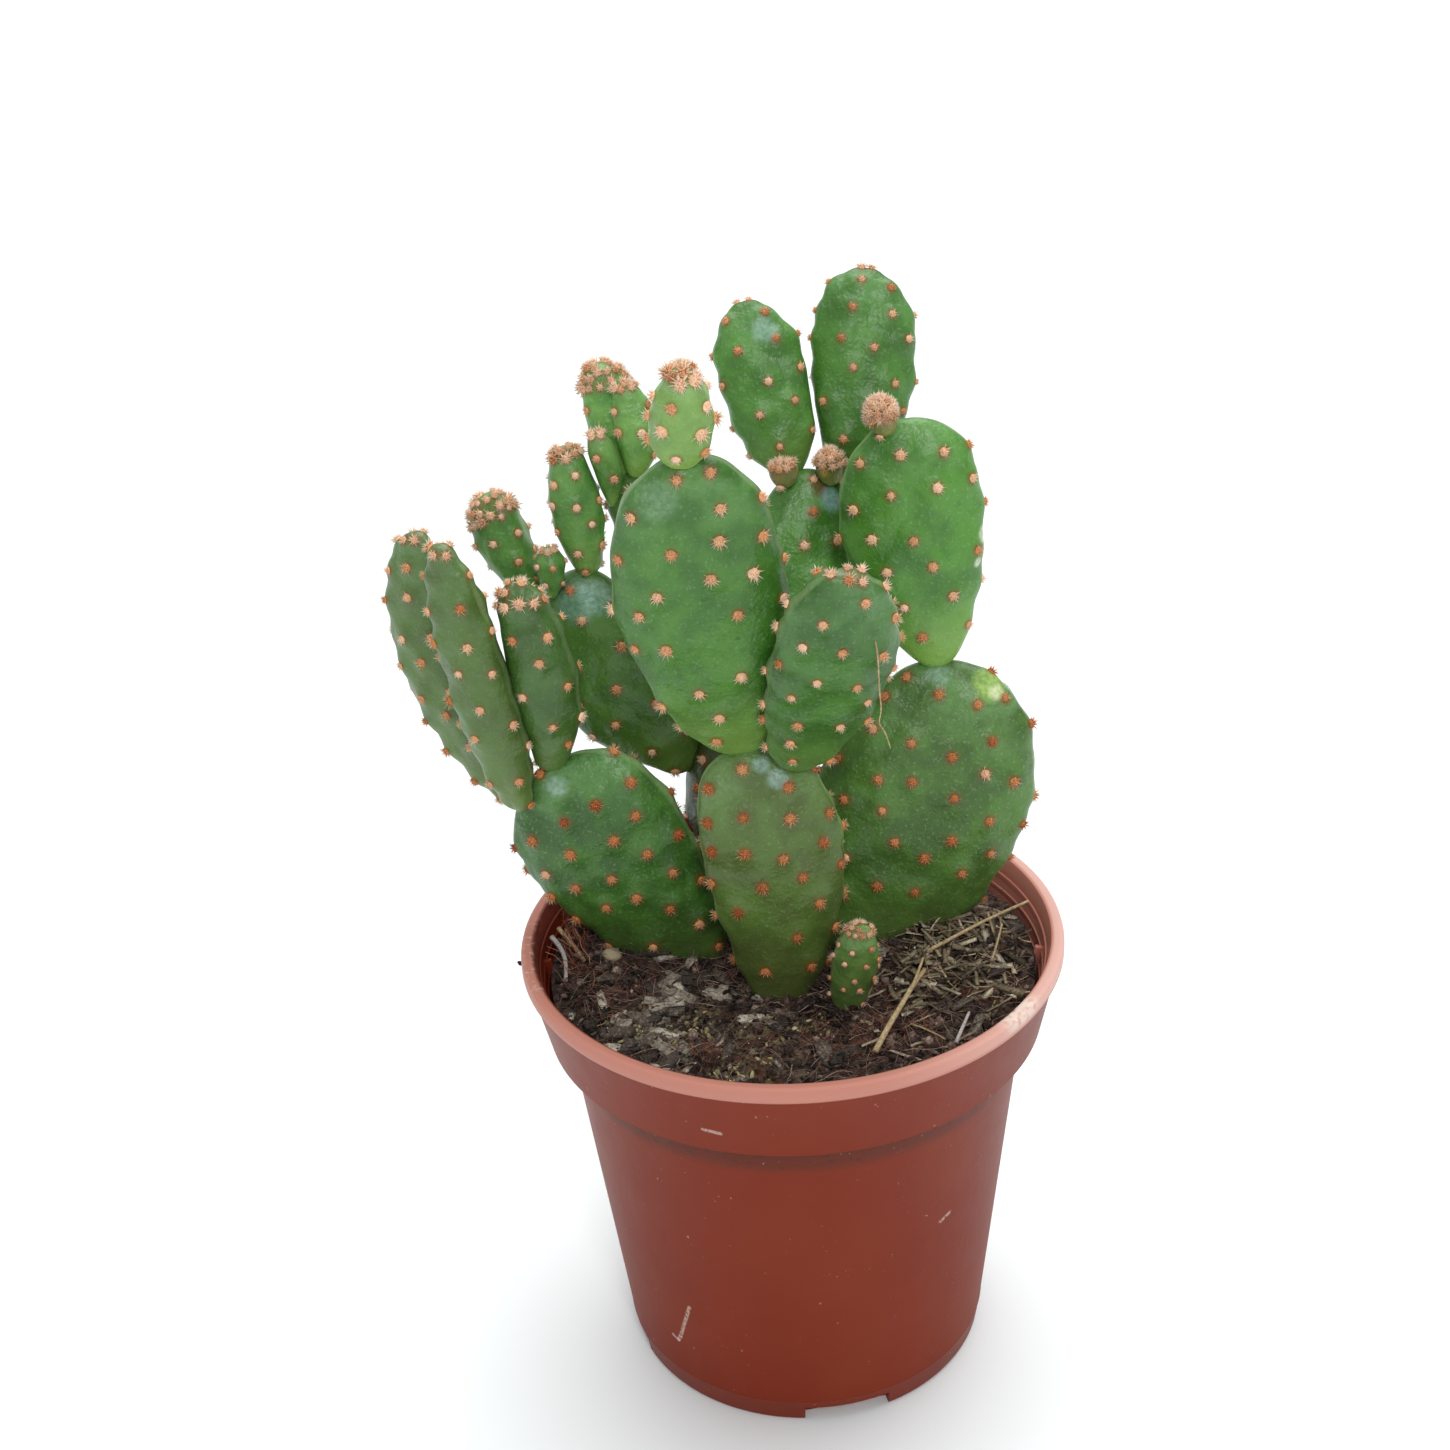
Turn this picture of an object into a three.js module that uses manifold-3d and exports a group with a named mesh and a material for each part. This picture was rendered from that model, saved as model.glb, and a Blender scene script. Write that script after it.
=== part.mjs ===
// Potted cinnamon cactus: flat oval pads dotted with tufts of short bristles, in a small
// tapered pot filled with soil. Millimetres, +Z up, the view side faces -Y. The origin is the
// middle of the pot's standing disc.
import * as THREE from 'three';
import { mergeVertices } from 'three/addons/utils/BufferGeometryUtils.js';
import Module from 'manifold-3d';

const wasm = await Module();
wasm.setup();

// Pot
const POT_SIDES = 32;
const POT_HEIGHT = 48.5;
const LIP_RADIUS = 27.5;
const LIP_THICKNESS = 1.45;
const LIP_DEPTH = 1.8;
const COLLAR_TOP_RADIUS = 27;
const COLLAR_FOOT_RADIUS = 25.4;
const COLLAR_FOOT_HEIGHT = 39.3;
const BODY_TOP_RADIUS = 23.6;
const BASE_RADIUS = 19;
const BASE_ROUNDING = 0.6;
const WALL = 1.15;
const DISC_RADIUS = 12;
const RING_INNER_RADIUS = 17;
const CHANNEL_HEIGHT = 2;
const CHANNEL_SLOPE = 0.5;
const FLOOR_THICKNESS = 1.3;
const FLOOR_FILLET = 1;
const COLLAR_STEP = 0.7;
const LIP_ROUNDING = 0.4;
const NOTCH = { count: 4, firstHeading: 10, width: 9, height: 1.9, depth: 4 };
const DRAIN = { count: 8, radius: 1.3, sides: 8 };

// Soil
const SOIL_LEVEL = 44;
const SOIL_GAP = 0.35;
const SOIL_RINGS = 5;
const SOIL_ROUGHNESS = 0.55;
const SOIL_SEED = 71;
// Mounds and dips in the soil: centre, reach and height
const MOUNDS = [
  { x: 15, y: 2, reach: 8, height: 2.6 },
  { x: -19, y: 5, reach: 8, height: 1.6 },
  { x: 3, y: -12, reach: 9, height: -0.5 },
];
const CHIPS = { count: 12, length: 4.2, width: 1.7, thickness: 1.1, reach: 22.5, tilt: 0.5, lift: 0.2 };

// Clearances and fusing
const CLEARANCE = 0.3;
const TUFT_SIDES = 3;
const TUFT_SPREAD = 1.15;
const TUFT_ROOT = 0.7;
const TUFT_MARGIN = 1.5;
const TUFT_SPACE = 2.5;
const TUFT_ABOVE_SOIL = 1.2;

// Skin: how blunt a pad's ends, faces and cross-section are
const END_BLUNTNESS = 0.9;
const FACE_BLUNTNESS = 0.85;
const SECTION_BLUNTNESS = 0.9;
const CHILD_INSET = 1;
const END_MARGIN = 0.08;

// Areoles: rings lie closer together than the places in a ring, and each place drifts a little
const RING_SHARE = 0.87;
const FIRST_RING = 0.7;
const AREOLE_DRIFT = 0.22;
const AREOLE_CLIMB = 0.1;
const WALK_STEP = 0.01;
const RING_SLICES = 72;

// Ages of pads: the gap between areoles, the width and height of a tuft, how the gap closes
// up towards the tip, and the colour of the skin
const AGES = {
  old: { gap: 6.2, width: 1.9, height: 1.2, crowd: 0.1, color: '#3f7a3a', rings: 8, sides: 14 },
  grown: { gap: 5.4, width: 1.8, height: 1.2, crowd: 0.2, color: '#4a8544', rings: 7, sides: 12 },
  young: { gap: 4.1, width: 1.5, height: 1.1, crowd: 0.4, color: '#5b9448', rings: 6, sides: 10 },
  bud: { gap: 3.1, width: 1.3, height: 1, crowd: 0.4, color: '#7f9a55', rings: 5, sides: 8 },
};

// Pads in the order they grow. A pad in the soil gives its foot. The others sit on the rim of
// the pad named by on, at degrees from its tip (positive to the right), and shift moves the
// foot towards the view side. lean is measured from upright, heading round from the view side
// to the right, and face is where the flat side looks. taper puts the widest part nearer the
// tip, and sway bows the pad to its right.
const PADS = [
  { name: 'low_left_pad', foot: [-7.5, 3.5, 40.5], lean: 31, heading: -94, face: -6,
    length: 30.5, width: 17.5, depth: 7, taper: 0.4, sway: -0.8, age: 'old' },
  { name: 'low_front_pad', foot: [-2, -4, 39.5], lean: 4, heading: -123, face: 4,
    length: 31.5, width: 14, depth: 7, taper: 0.4, sway: 1.8, age: 'old' },
  { name: 'low_right_pad', foot: [4.5, 3.5, 41.5], lean: 26, heading: 104, face: -6,
    length: 35.5, width: 21.5, depth: 8, taper: 0.1, sway: 1, age: 'old' },
  { name: 'soil_shoot', foot: [4.5, -6.5, 41.5], lean: 14, heading: 41, face: 10,
    length: 12.5, width: 4.5, depth: 4, taper: 0.2, sway: 0.2, age: 'bud' },
  { name: 'low_back_pad', foot: [0.5, 5.5, 40.5], lean: 15, heading: -126, face: -25,
    length: 27, width: 15, depth: 6.5, taper: 0.25, sway: 0, age: 'old' },
  { name: 'front_pad', on: 'low_front_pad', at: 1, shift: -0.6, lean: 15, heading: -27, face: -4,
    length: 34.5, width: 16, depth: 7, taper: 0.15, sway: -1.2, age: 'old' },
  { name: 'front_right_pad', on: 'low_front_pad', at: 26, shift: 0.8, lean: 26, heading: 27, face: 8,
    length: 27, width: 11.5, depth: 6.5, taper: 0.2, sway: 0.8, age: 'grown' },
  { name: 'crown_pad', on: 'front_pad', at: -3, shift: 0, lean: 18, heading: 12, face: 0,
    length: 10, width: 5.5, depth: 5, taper: -0.1, sway: 0, age: 'young' },
  { name: 'right_pad', on: 'low_right_pad', at: -15, shift: 0, lean: 7, heading: -108, face: 4,
    length: 26, width: 14, depth: 6.5, taper: 0.3, sway: -0.6, age: 'old' },
  { name: 'right_bud', on: 'right_pad', at: -12, shift: 0.5, lean: 15, heading: -51, face: 0,
    length: 4.5, width: 3.8, depth: 3.8, taper: 0, sway: 0, age: 'bud' },
  { name: 'left_outer_pad', on: 'low_left_pad', at: -27, shift: 1.6, lean: 10, heading: -65, face: -20,
    length: 30.5, width: 6.5, depth: 5, taper: 0, sway: 0, age: 'grown' },
  { name: 'left_inner_pad', on: 'low_left_pad', at: -34, shift: -2.2, lean: 17, heading: -108, face: -30,
    length: 30.5, width: 9.5, depth: 5, taper: 0.05, sway: -3, age: 'grown' },
  { name: 'left_small_pad', on: 'low_left_pad', at: 0, shift: 0.5, lean: 7, heading: -45, face: -15,
    length: 21.5, width: 7, depth: 5.5, taper: 0.05, sway: 0.8, age: 'grown' },
  { name: 'shiny_pad', on: 'low_back_pad', at: -38, shift: 0, lean: 30, heading: -105, face: -5,
    length: 24.5, width: 12.5, depth: 6.5, taper: 0.2, sway: -2.4, age: 'old' },
  { name: 'left_shoot', on: 'shiny_pad', at: -26, shift: 0, lean: 25, heading: -109, face: -10,
    length: 13, width: 5.5, depth: 5, taper: 0.35, sway: -0.8, age: 'young' },
  { name: 'left_bud', on: 'shiny_pad', at: -14, shift: 1.5, lean: 5, heading: 0, face: 0,
    length: 5.5, width: 3, depth: 3.5, taper: 0.3, sway: 0, age: 'bud' },
  { name: 'slim_shoot', on: 'shiny_pad', at: 17, shift: 0, lean: 8, heading: -126, face: 10,
    length: 13.5, width: 5.2, depth: 4.6, taper: 0.1, sway: 0, age: 'young' },
  { name: 'back_pad', on: 'low_back_pad', at: 47, shift: 0, lean: 20, heading: 162, face: 6,
    length: 30.5, width: 12.5, depth: 6.5, taper: 0.1, sway: 0, age: 'old' },
  { name: 'tall_left_pad', on: 'back_pad', at: -12, shift: 0, lean: 24, heading: -146, face: 5,
    length: 18, width: 9, depth: 5.5, taper: 0.15, sway: 0, age: 'grown' },
  { name: 'tall_right_pad', on: 'back_pad', at: 39, shift: 0, lean: 21, heading: 160, face: 0,
    length: 24, width: 10.5, depth: 5.5, taper: 0.35, sway: 0.6, age: 'grown' },
  { name: 'back_left_bud', on: 'back_pad', at: -21, shift: 1.5, lean: 8, heading: -53, face: 0,
    length: 3, width: 3.6, depth: 3.5, taper: 0.1, sway: 0, age: 'bud' },
  { name: 'back_right_bud', on: 'back_pad', at: 16, shift: 1.5, lean: 4, heading: 0, face: 0,
    length: 4, width: 3.6, depth: 3.5, taper: 0.1, sway: 0, age: 'bud' },
  { name: 'hidden_pad', on: 'low_back_pad', at: 6, shift: 0, lean: 27, heading: -127, face: 0,
    length: 29.5, width: 12.5, depth: 6.5, taper: -0.2, sway: 2.5, age: 'old' },
  { name: 'back_shoot', on: 'hidden_pad', at: -10, shift: -0.5, lean: 12, heading: -155, face: 0,
    length: 12.5, width: 5.5, depth: 4.5, taper: 0.25, sway: 0.8, age: 'young' },
  { name: 'middle_shoot', on: 'hidden_pad', at: 13, shift: 0.5, lean: 6, heading: -133, face: 5,
    length: 10, width: 4.5, depth: 4, taper: 0.1, sway: 0.8, age: 'young' },
  { name: 'small_shoot', on: 'hidden_pad', at: -29, shift: 1, lean: 9, heading: -64, face: 0,
    length: 8, width: 3, depth: 3, taper: 0.3, sway: 0.4, age: 'young' },
];

// Straws on the soil: the two ends, each lifted clear of the soil where it bridges a dip
const STRAWS = [
  { name: 'stout_straw', from: [7, -17, 44.9], to: [13, -6, 46.2], radius: 0.5, color: '#a3875c' },
  { name: 'long_straw', from: [14.5, -2.5, 47], to: [24.4, 1.5, 49], radius: 0.3, color: '#b39a6b' },
  { name: 'left_straw', from: [-24, 4.2, 47.2], to: [-21, 0.5, 45], radius: 0.35, color: '#b8935c' },
  { name: 'grey_strip', from: [-24.6, 2, 47.3], to: [-23, -2.5, 45.2], radius: 0.4, color: '#8f8a86' },
];
const STRAW_SIDES = 6;
const STRAW_STEPS = 3;
const STRAW_ARCH = 0.3;

// Finishes
const PLASTIC = { color: '#a85a48', roughness: 0.45 };
const PEAT = { color: '#3a2c22', roughness: 0.9 };
const SKIN_ROUGHNESS = 0.5;
const STRAW_ROUGHNESS = 0.8;

// A repeatable number from 0 to 1 for any three whole numbers
function chance(seed, i, j) {
  const wave = Math.sin(seed * 12.9898 + i * 78.233 + j * 37.719) * 43758.5453;
  return wave - Math.floor(wave);
}

function radians(degrees) {
  return THREE.MathUtils.degToRad(degrees);
}

// The direction that leans from upright towards a heading measured from -Y round to +X
function direction(lean, heading) {
  const tilt = radians(lean);
  const turn = radians(heading);
  return new THREE.Vector3(
    Math.sin(tilt) * Math.sin(turn),
    -Math.sin(tilt) * Math.cos(turn),
    Math.cos(tilt),
  );
}

// Share the corners of a closed geometry, before it is turned, and drop triangles of no area
function weld(geometry) {
  geometry.deleteAttribute('normal');
  geometry.deleteAttribute('uv');
  const welded = mergeVertices(geometry, 1e-4);
  const corners = welded.index.array;
  const index = [];
  for (let i = 0; i < corners.length; i += 3) {
    const [a, b, c] = [corners[i], corners[i + 1], corners[i + 2]];
    if (a !== b && b !== c && c !== a) index.push(a, b, c);
  }
  return welded.setIndex(index);
}

// Turn a welded geometry into a solid that can be joined and cut
function solidOf(geometry) {
  return new wasm.Manifold(new wasm.Mesh({
    numProp: 3,
    vertProperties: new Float32Array(geometry.attributes.position.array),
    triVerts: new Uint32Array(geometry.index.array),
  }));
}

// Turn a solid back into a geometry
function geometryOf(solid) {
  const mesh = solid.getMesh();
  const geometry = new THREE.BufferGeometry();
  geometry.setAttribute('position', new THREE.Float32BufferAttribute(mesh.vertProperties, 3));
  geometry.setIndex(new THREE.Uint32BufferAttribute(mesh.triVerts, 1));
  geometry.computeVertexNormals();
  return geometry;
}

// The main body of a solid, without the scraps that a cut leaves
function mainBody(solid) {
  return solid.decompose().sort((a, b) => b.volume() - a.volume())[0];
}

// A named mesh of a solid, placed by the position and rotation of its own frame
function meshOf(name, solid, { color, roughness }, frame = new THREE.Matrix4()) {
  const material = new THREE.MeshStandardMaterial({ color, roughness, metalness: 0 });
  const geometry = geometryOf(solid).applyMatrix4(frame.clone().invert());
  const mesh = new THREE.Mesh(geometry, material);
  frame.decompose(mesh.position, mesh.quaternion, mesh.scale);
  mesh.name = name;
  return mesh;
}

// Revolve a closed outline of [radius, height] points about the upright axis
function revolve(outline) {
  const points = outline.map(([radius, height]) => new THREE.Vector2(radius, height));
  return weld(new THREE.LatheGeometry(points, POT_SIDES)).rotateX(Math.PI / 2);
}

// A flat, egg-shaped pad with its areoles
class Pad {
  constructor(spec, parent, seed) {
    Object.assign(this, spec);
    this.seed = seed;
    this.growth = AGES[spec.age];
    this.up = direction(spec.lean, spec.heading);
    const turn = radians(spec.face);
    const look = new THREE.Vector3(Math.sin(turn), -Math.cos(turn), 0);
    this.out = look.addScaledVector(this.up, -look.dot(this.up)).normalize();
    this.side = new THREE.Vector3().crossVectors(this.up, this.out);
    this.start = parent ? parent.seat(spec.at, spec.shift) : new THREE.Vector3(...spec.foot);
    this.widest = 0;
    for (let along = 0; along < Math.PI; along += WALK_STEP) {
      this.widest = Math.max(this.widest, this.swell(along));
    }
  }

  // The pad's own frame: its foot, with the pad upright along Y and its view side along Z
  frame() {
    return new THREE.Matrix4().makeBasis(this.side, this.up, this.out).setPosition(this.start);
  }

  // Unscaled half width at an angle along the pad, 0 at the foot and PI at the tip
  swell(along) {
    return Math.sin(along) ** END_BLUNTNESS * (1 - this.taper * Math.cos(along));
  }

  // Sizes of the cross-section at an angle along the pad
  section(along, grow = 0) {
    const share = (1 - Math.cos(along)) / 2;
    return {
      rise: share * (this.length + 2 * grow) - grow,
      bow: 4 * this.sway * share * (1 - share),
      halfWidth: (this.width / 2 + grow) * this.swell(along) / this.widest,
      halfDepth: (this.depth / 2 + grow) * Math.sin(along) ** FACE_BLUNTNESS,
    };
  }

  // A point on the skin, or off it by grow
  skin(along, around, grow = 0) {
    const { rise, bow, halfWidth, halfDepth } = this.section(along, grow);
    const blunt = (value) => Math.sign(value) * Math.abs(value) ** SECTION_BLUNTNESS;
    return this.start.clone()
      .addScaledVector(this.up, rise)
      .addScaledVector(this.side, halfWidth * blunt(Math.cos(around)) + bow)
      .addScaledVector(this.out, halfDepth * blunt(Math.sin(around)));
  }

  normal(along, around) {
    const above = this.skin(along + WALK_STEP, around);
    const lengthwise = above.sub(this.skin(along - WALK_STEP, around));
    const beside = this.skin(along, around + WALK_STEP);
    const across = beside.sub(this.skin(along, around - WALK_STEP));
    return lengthwise.cross(across).normalize();
  }

  // Where the foot of a pad on this one's rim goes, a little inside the skin
  seat(degrees, shift) {
    const along = Math.PI - radians(Math.abs(degrees));
    const rim = this.skin(along, degrees < 0 ? Math.PI : 0);
    const middle = this.start.clone().addScaledVector(this.up, this.length / 2);
    const inward = middle.sub(rim).normalize();
    return rim.addScaledVector(inward, CHILD_INSET).addScaledVector(this.out, shift);
  }

  // Whether a point lies inside the pad grown by a margin
  holds(point, margin) {
    const from = point.clone().sub(this.start);
    const share = (from.dot(this.up) + margin) / (this.length + 2 * margin);
    if (share <= 0 || share >= 1) return false;
    const { bow, halfWidth, halfDepth } = this.section(Math.acos(1 - 2 * share), margin);
    const power = 2 / SECTION_BLUNTNESS;
    const across = Math.abs((from.dot(this.side) - bow) / halfWidth) ** power;
    return across + Math.abs(from.dot(this.out) / halfDepth) ** power < 1;
  }

  body(grow = 0) {
    const { sides, rings } = this.growth;
    const geometry = weld(new THREE.SphereGeometry(1, sides, rings));
    const corners = geometry.attributes.position;
    for (let i = 0; i < corners.count; i += 1) {
      const along = Math.acos(THREE.MathUtils.clamp(-corners.getY(i), -1, 1));
      const around = Math.atan2(corners.getZ(i), corners.getX(i));
      corners.setXYZ(i, ...this.skin(along, around, grow));
    }
    return solidOf(geometry);
  }

  // Areoles stand in staggered rings from the foot to the tip, closer together near the tip
  areoles() {
    const places = [];
    const { gap, crowd } = this.growth;
    let ring = 0;
    let travelled = 0;
    let next = gap * FIRST_RING;
    for (let along = WALK_STEP; along < Math.PI; along += WALK_STEP) {
      travelled += this.skin(along, 0).distanceTo(this.skin(along - WALK_STEP, 0));
      if (travelled < next) continue;
      const closed = gap * (1 - crowd * along / Math.PI);
      places.push(...this.ringOfAreoles(along, ring, closed));
      next += closed * RING_SHARE;
      ring += 1;
    }
    return places;
  }

  ringOfAreoles(along, ring, gap) {
    const slice = 2 * Math.PI / RING_SLICES;
    const lengths = [0];
    for (let i = 1; i <= RING_SLICES; i += 1) {
      const piece = this.skin(along, i * slice).distanceTo(this.skin(along, (i - 1) * slice));
      lengths.push(lengths[i - 1] + piece);
    }
    const girth = lengths[RING_SLICES];
    const count = Math.max(1, Math.round(girth / gap));
    const places = [];
    for (let i = 0; i < count; i += 1) {
      const drift = AREOLE_DRIFT * (chance(this.seed, ring, i) - 0.5);
      const wanted = girth * (((i + 0.5 * (ring % 2) + drift) / count + 1) % 1);
      const around = (lengths.findIndex((length) => length > wanted) - 0.5) * slice;
      const drifted = along + AREOLE_CLIMB * (chance(this.seed, i, -ring) - 0.5);
      const climb = THREE.MathUtils.clamp(drifted, END_MARGIN, Math.PI - END_MARGIN);
      places.push({ at: this.skin(climb, around), normal: this.normal(climb, around), pad: this });
    }
    return places;
  }
}

// A tuft is a blunt point with its root sunk in the skin
function tuft({ at, normal, pad }) {
  const { width, height } = pad.growth;
  const reach = TUFT_SPREAD * width / 2;
  const cone = weld(new THREE.ConeGeometry(reach, height + TUFT_ROOT, TUFT_SIDES));
  cone.translate(0, (height - TUFT_ROOT) / 2, 0);
  const turn = new THREE.Quaternion().setFromUnitVectors(new THREE.Vector3(0, 1, 0), normal);
  cone.applyQuaternion(turn).translate(at.x, at.y, at.z);
  return solidOf(cone);
}

function soilHeight(x, y) {
  let height = SOIL_LEVEL;
  for (const mound of MOUNDS) {
    const away = Math.hypot(x - mound.x, y - mound.y) / mound.reach;
    height += mound.height * Math.exp(-away * away);
  }
  return height;
}

function growPads() {
  const pads = new Map();
  PADS.forEach((spec, i) => pads.set(spec.name, new Pad(spec, pads.get(spec.on), i + 1)));
  return [...pads.values()];
}

// Keep the areoles that stand clear of the soil, of every other pad and of each other
function clearAreoles(pads) {
  const kept = [];
  for (const pad of pads) {
    for (const place of pad.areoles()) {
      const crown = place.at.clone().addScaledVector(place.normal, pad.growth.height / 2);
      const buried = place.at.z < soilHeight(place.at.x, place.at.y) + TUFT_ABOVE_SOIL;
      const inside = pads.some((other) => other !== pad && other.holds(crown, TUFT_MARGIN));
      const near = (other) => other.pad !== pad && other.at.distanceTo(place.at) < TUFT_SPACE;
      const crowded = kept.some(near);
      if (!buried && !inside && !crowded) kept.push(place);
    }
  }
  return kept;
}

function makePads(pads) {
  const areoles = clearAreoles(pads);
  const group = new THREE.Group();
  const grown = [];
  for (const pad of pads) {
    const tufts = areoles.filter((place) => place.pad === pad).map(tuft);
    let solid = pad.body();
    for (const earlier of grown) solid = solid.subtract(earlier.body(CLEARANCE));
    solid = wasm.Manifold.union([mainBody(solid), ...tufts]);
    const finish = { color: pad.growth.color, roughness: SKIN_ROUGHNESS };
    group.add(meshOf(pad.name, mainBody(solid), finish, pad.frame()));
    grown.push(pad);
  }
  return group;
}

// The pot's inside wall from the edge of its standing disc up to the lip, drawn in by a gap
function insideWall(gap) {
  const floor = CHANNEL_HEIGHT + FLOOR_THICKNESS;
  return [
    [DISC_RADIUS, FLOOR_THICKNESS],
    [DISC_RADIUS + 2 * CHANNEL_SLOPE, floor],
    [BASE_RADIUS - WALL - FLOOR_FILLET, floor],
    [BASE_RADIUS - WALL, floor + FLOOR_FILLET],
    [BODY_TOP_RADIUS - WALL, COLLAR_FOOT_HEIGHT - COLLAR_STEP],
    [COLLAR_FOOT_RADIUS - WALL, COLLAR_FOOT_HEIGHT + COLLAR_STEP],
  ].map(([radius, height]) => [radius - gap, height + gap]);
}

function potOutline() {
  const lipFoot = POT_HEIGHT - LIP_DEPTH;
  const lipInside = LIP_RADIUS - LIP_THICKNESS;
  return [
    [0, 0],
    [DISC_RADIUS, 0],
    [DISC_RADIUS + CHANNEL_SLOPE, CHANNEL_HEIGHT],
    [RING_INNER_RADIUS - CHANNEL_SLOPE, CHANNEL_HEIGHT],
    [RING_INNER_RADIUS, 0],
    [BASE_RADIUS - BASE_ROUNDING, 0],
    [BASE_RADIUS, BASE_ROUNDING],
    [BODY_TOP_RADIUS, COLLAR_FOOT_HEIGHT - COLLAR_STEP],
    [COLLAR_FOOT_RADIUS, COLLAR_FOOT_HEIGHT],
    [COLLAR_TOP_RADIUS, lipFoot],
    [LIP_RADIUS, lipFoot + LIP_ROUNDING],
    [LIP_RADIUS, POT_HEIGHT - LIP_ROUNDING],
    [LIP_RADIUS - LIP_ROUNDING, POT_HEIGHT],
    [lipInside + LIP_ROUNDING, POT_HEIGHT],
    [lipInside, POT_HEIGHT - LIP_ROUNDING],
    ...insideWall(0).reverse(),
    [0, FLOOR_THICKNESS],
  ];
}

function makePot() {
  let pot = solidOf(revolve(potOutline()));
  for (let i = 0; i < NOTCH.count; i += 1) {
    const turn = radians(NOTCH.firstHeading + i * 360 / NOTCH.count);
    const notch = weld(new THREE.BoxGeometry(NOTCH.width, NOTCH.depth, 2 * NOTCH.height));
    notch.translate(0, -BASE_RADIUS, 0).rotateZ(turn);
    pot = pot.subtract(solidOf(notch));
  }
  const middle = (DISC_RADIUS + RING_INNER_RADIUS) / 2;
  const depth = 4 * FLOOR_THICKNESS;
  for (let i = 0; i < DRAIN.count; i += 1) {
    const turn = radians(NOTCH.firstHeading + (i + 0.5) * 360 / DRAIN.count);
    const hole = weld(new THREE.CylinderGeometry(DRAIN.radius, DRAIN.radius, depth, DRAIN.sides));
    hole.rotateX(Math.PI / 2).translate(0, -middle, CHANNEL_HEIGHT).rotateZ(turn);
    pot = pot.subtract(solidOf(hole));
  }
  return pot;
}

// The soil follows the pot's inside, and its top is raised into mounds and crumbs
function makeSoil() {
  const outline = [[0, FLOOR_THICKNESS + SOIL_GAP], ...insideWall(SOIL_GAP)];
  const [shoulderRadius, shoulderHeight] = outline[outline.length - 1];
  const spread = LIP_RADIUS - LIP_THICKNESS - COLLAR_FOOT_RADIUS + WALL;
  const flare = spread / (POT_HEIGHT - COLLAR_FOOT_HEIGHT);
  const topRadius = shoulderRadius + flare * (SOIL_LEVEL - shoulderHeight);
  for (let ring = SOIL_RINGS; ring >= 0; ring -= 1) {
    outline.push([topRadius * ring / SOIL_RINGS, SOIL_LEVEL]);
  }
  const geometry = revolve(outline);
  const corners = geometry.attributes.position;
  for (let i = 0; i < corners.count; i += 1) {
    const [x, y, z] = [corners.getX(i), corners.getY(i), corners.getZ(i)];
    if (z < SOIL_LEVEL) continue;
    const crumb = chance(SOIL_SEED, Math.round(x * 10), Math.round(y * 10)) - 0.5;
    corners.setZ(i, soilHeight(x, y) + 2 * SOIL_ROUGHNESS * crumb);
  }
  return wasm.Manifold.union([solidOf(geometry), ...barkChips()]);
}

function barkChips() {
  const chips = [];
  for (let i = 0; i < CHIPS.count; i += 1) {
    const reach = CHIPS.reach * Math.sqrt(chance(SOIL_SEED, i, 1));
    const turn = 2 * Math.PI * chance(SOIL_SEED, i, 2);
    const size = 0.6 + 0.6 * chance(SOIL_SEED, i, 3);
    const chip = weld(new THREE.BoxGeometry(CHIPS.length * size, CHIPS.width * size, CHIPS.thickness));
    chip.rotateX(CHIPS.tilt * (chance(SOIL_SEED, i, 4) - 0.5));
    chip.rotateY(CHIPS.tilt * (chance(SOIL_SEED, i, 5) - 0.5));
    chip.rotateZ(2 * Math.PI * chance(SOIL_SEED, i, 6));
    const x = reach * Math.cos(turn);
    const y = reach * Math.sin(turn);
    chip.translate(x, y, soilHeight(x, y) + CHIPS.lift);
    chips.push(solidOf(chip));
  }
  return chips;
}

// A straw that arches a little, or the same straw grown by a clearance
function straw({ from, to, radius }, grow = 0) {
  const start = new THREE.Vector3(...from);
  const end = new THREE.Vector3(...to);
  const along = end.clone().sub(start).normalize();
  const middle = start.clone().lerp(end, 0.5).add(new THREE.Vector3(0, 0, STRAW_ARCH));
  start.addScaledVector(along, -grow);
  end.addScaledVector(along, grow);
  const section = new THREE.Shape();
  section.absarc(0, 0, radius + grow, 0, 2 * Math.PI);
  const route = new THREE.CatmullRomCurve3([start, middle, end]);
  const options = { steps: STRAW_STEPS, extrudePath: route, curveSegments: STRAW_SIDES / 2 };
  return solidOf(weld(new THREE.ExtrudeGeometry(section, options)));
}

const pads = growPads();
const plant = makePads(pads);
const straws = new THREE.Group();
let soil = makeSoil();
for (const pad of pads) soil = soil.subtract(pad.body(CLEARANCE));
for (const spec of STRAWS) {
  const finish = { color: spec.color, roughness: STRAW_ROUGHNESS };
  straws.add(meshOf(spec.name, straw(spec), finish, new THREE.Matrix4().setPosition(...spec.from)));
  soil = soil.subtract(straw(spec, CLEARANCE));
}

const pottedCactus = new THREE.Group();
pottedCactus.add(meshOf('pot', makePot(), PLASTIC));
pottedCactus.add(meshOf('soil', mainBody(soil), PEAT));
pottedCactus.add(straws);
pottedCactus.add(plant);

export default pottedCactus;
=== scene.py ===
"""Potted cinnamon cactus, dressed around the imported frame.

Flat oval pads carry tufts of short rust-coloured bristles and grow from one another out of a
small tapered plastic pot of fibrous soil. Metres, +Z up, the view side faces -Y.
"""

from __future__ import annotations

import logging
import math
import random
from collections.abc import Iterator, Sequence
from dataclasses import dataclass, field, replace
from enum import Enum
from typing import Union

import bpy
import numpy as np
from mathutils import Matrix, Vector, noise

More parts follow.
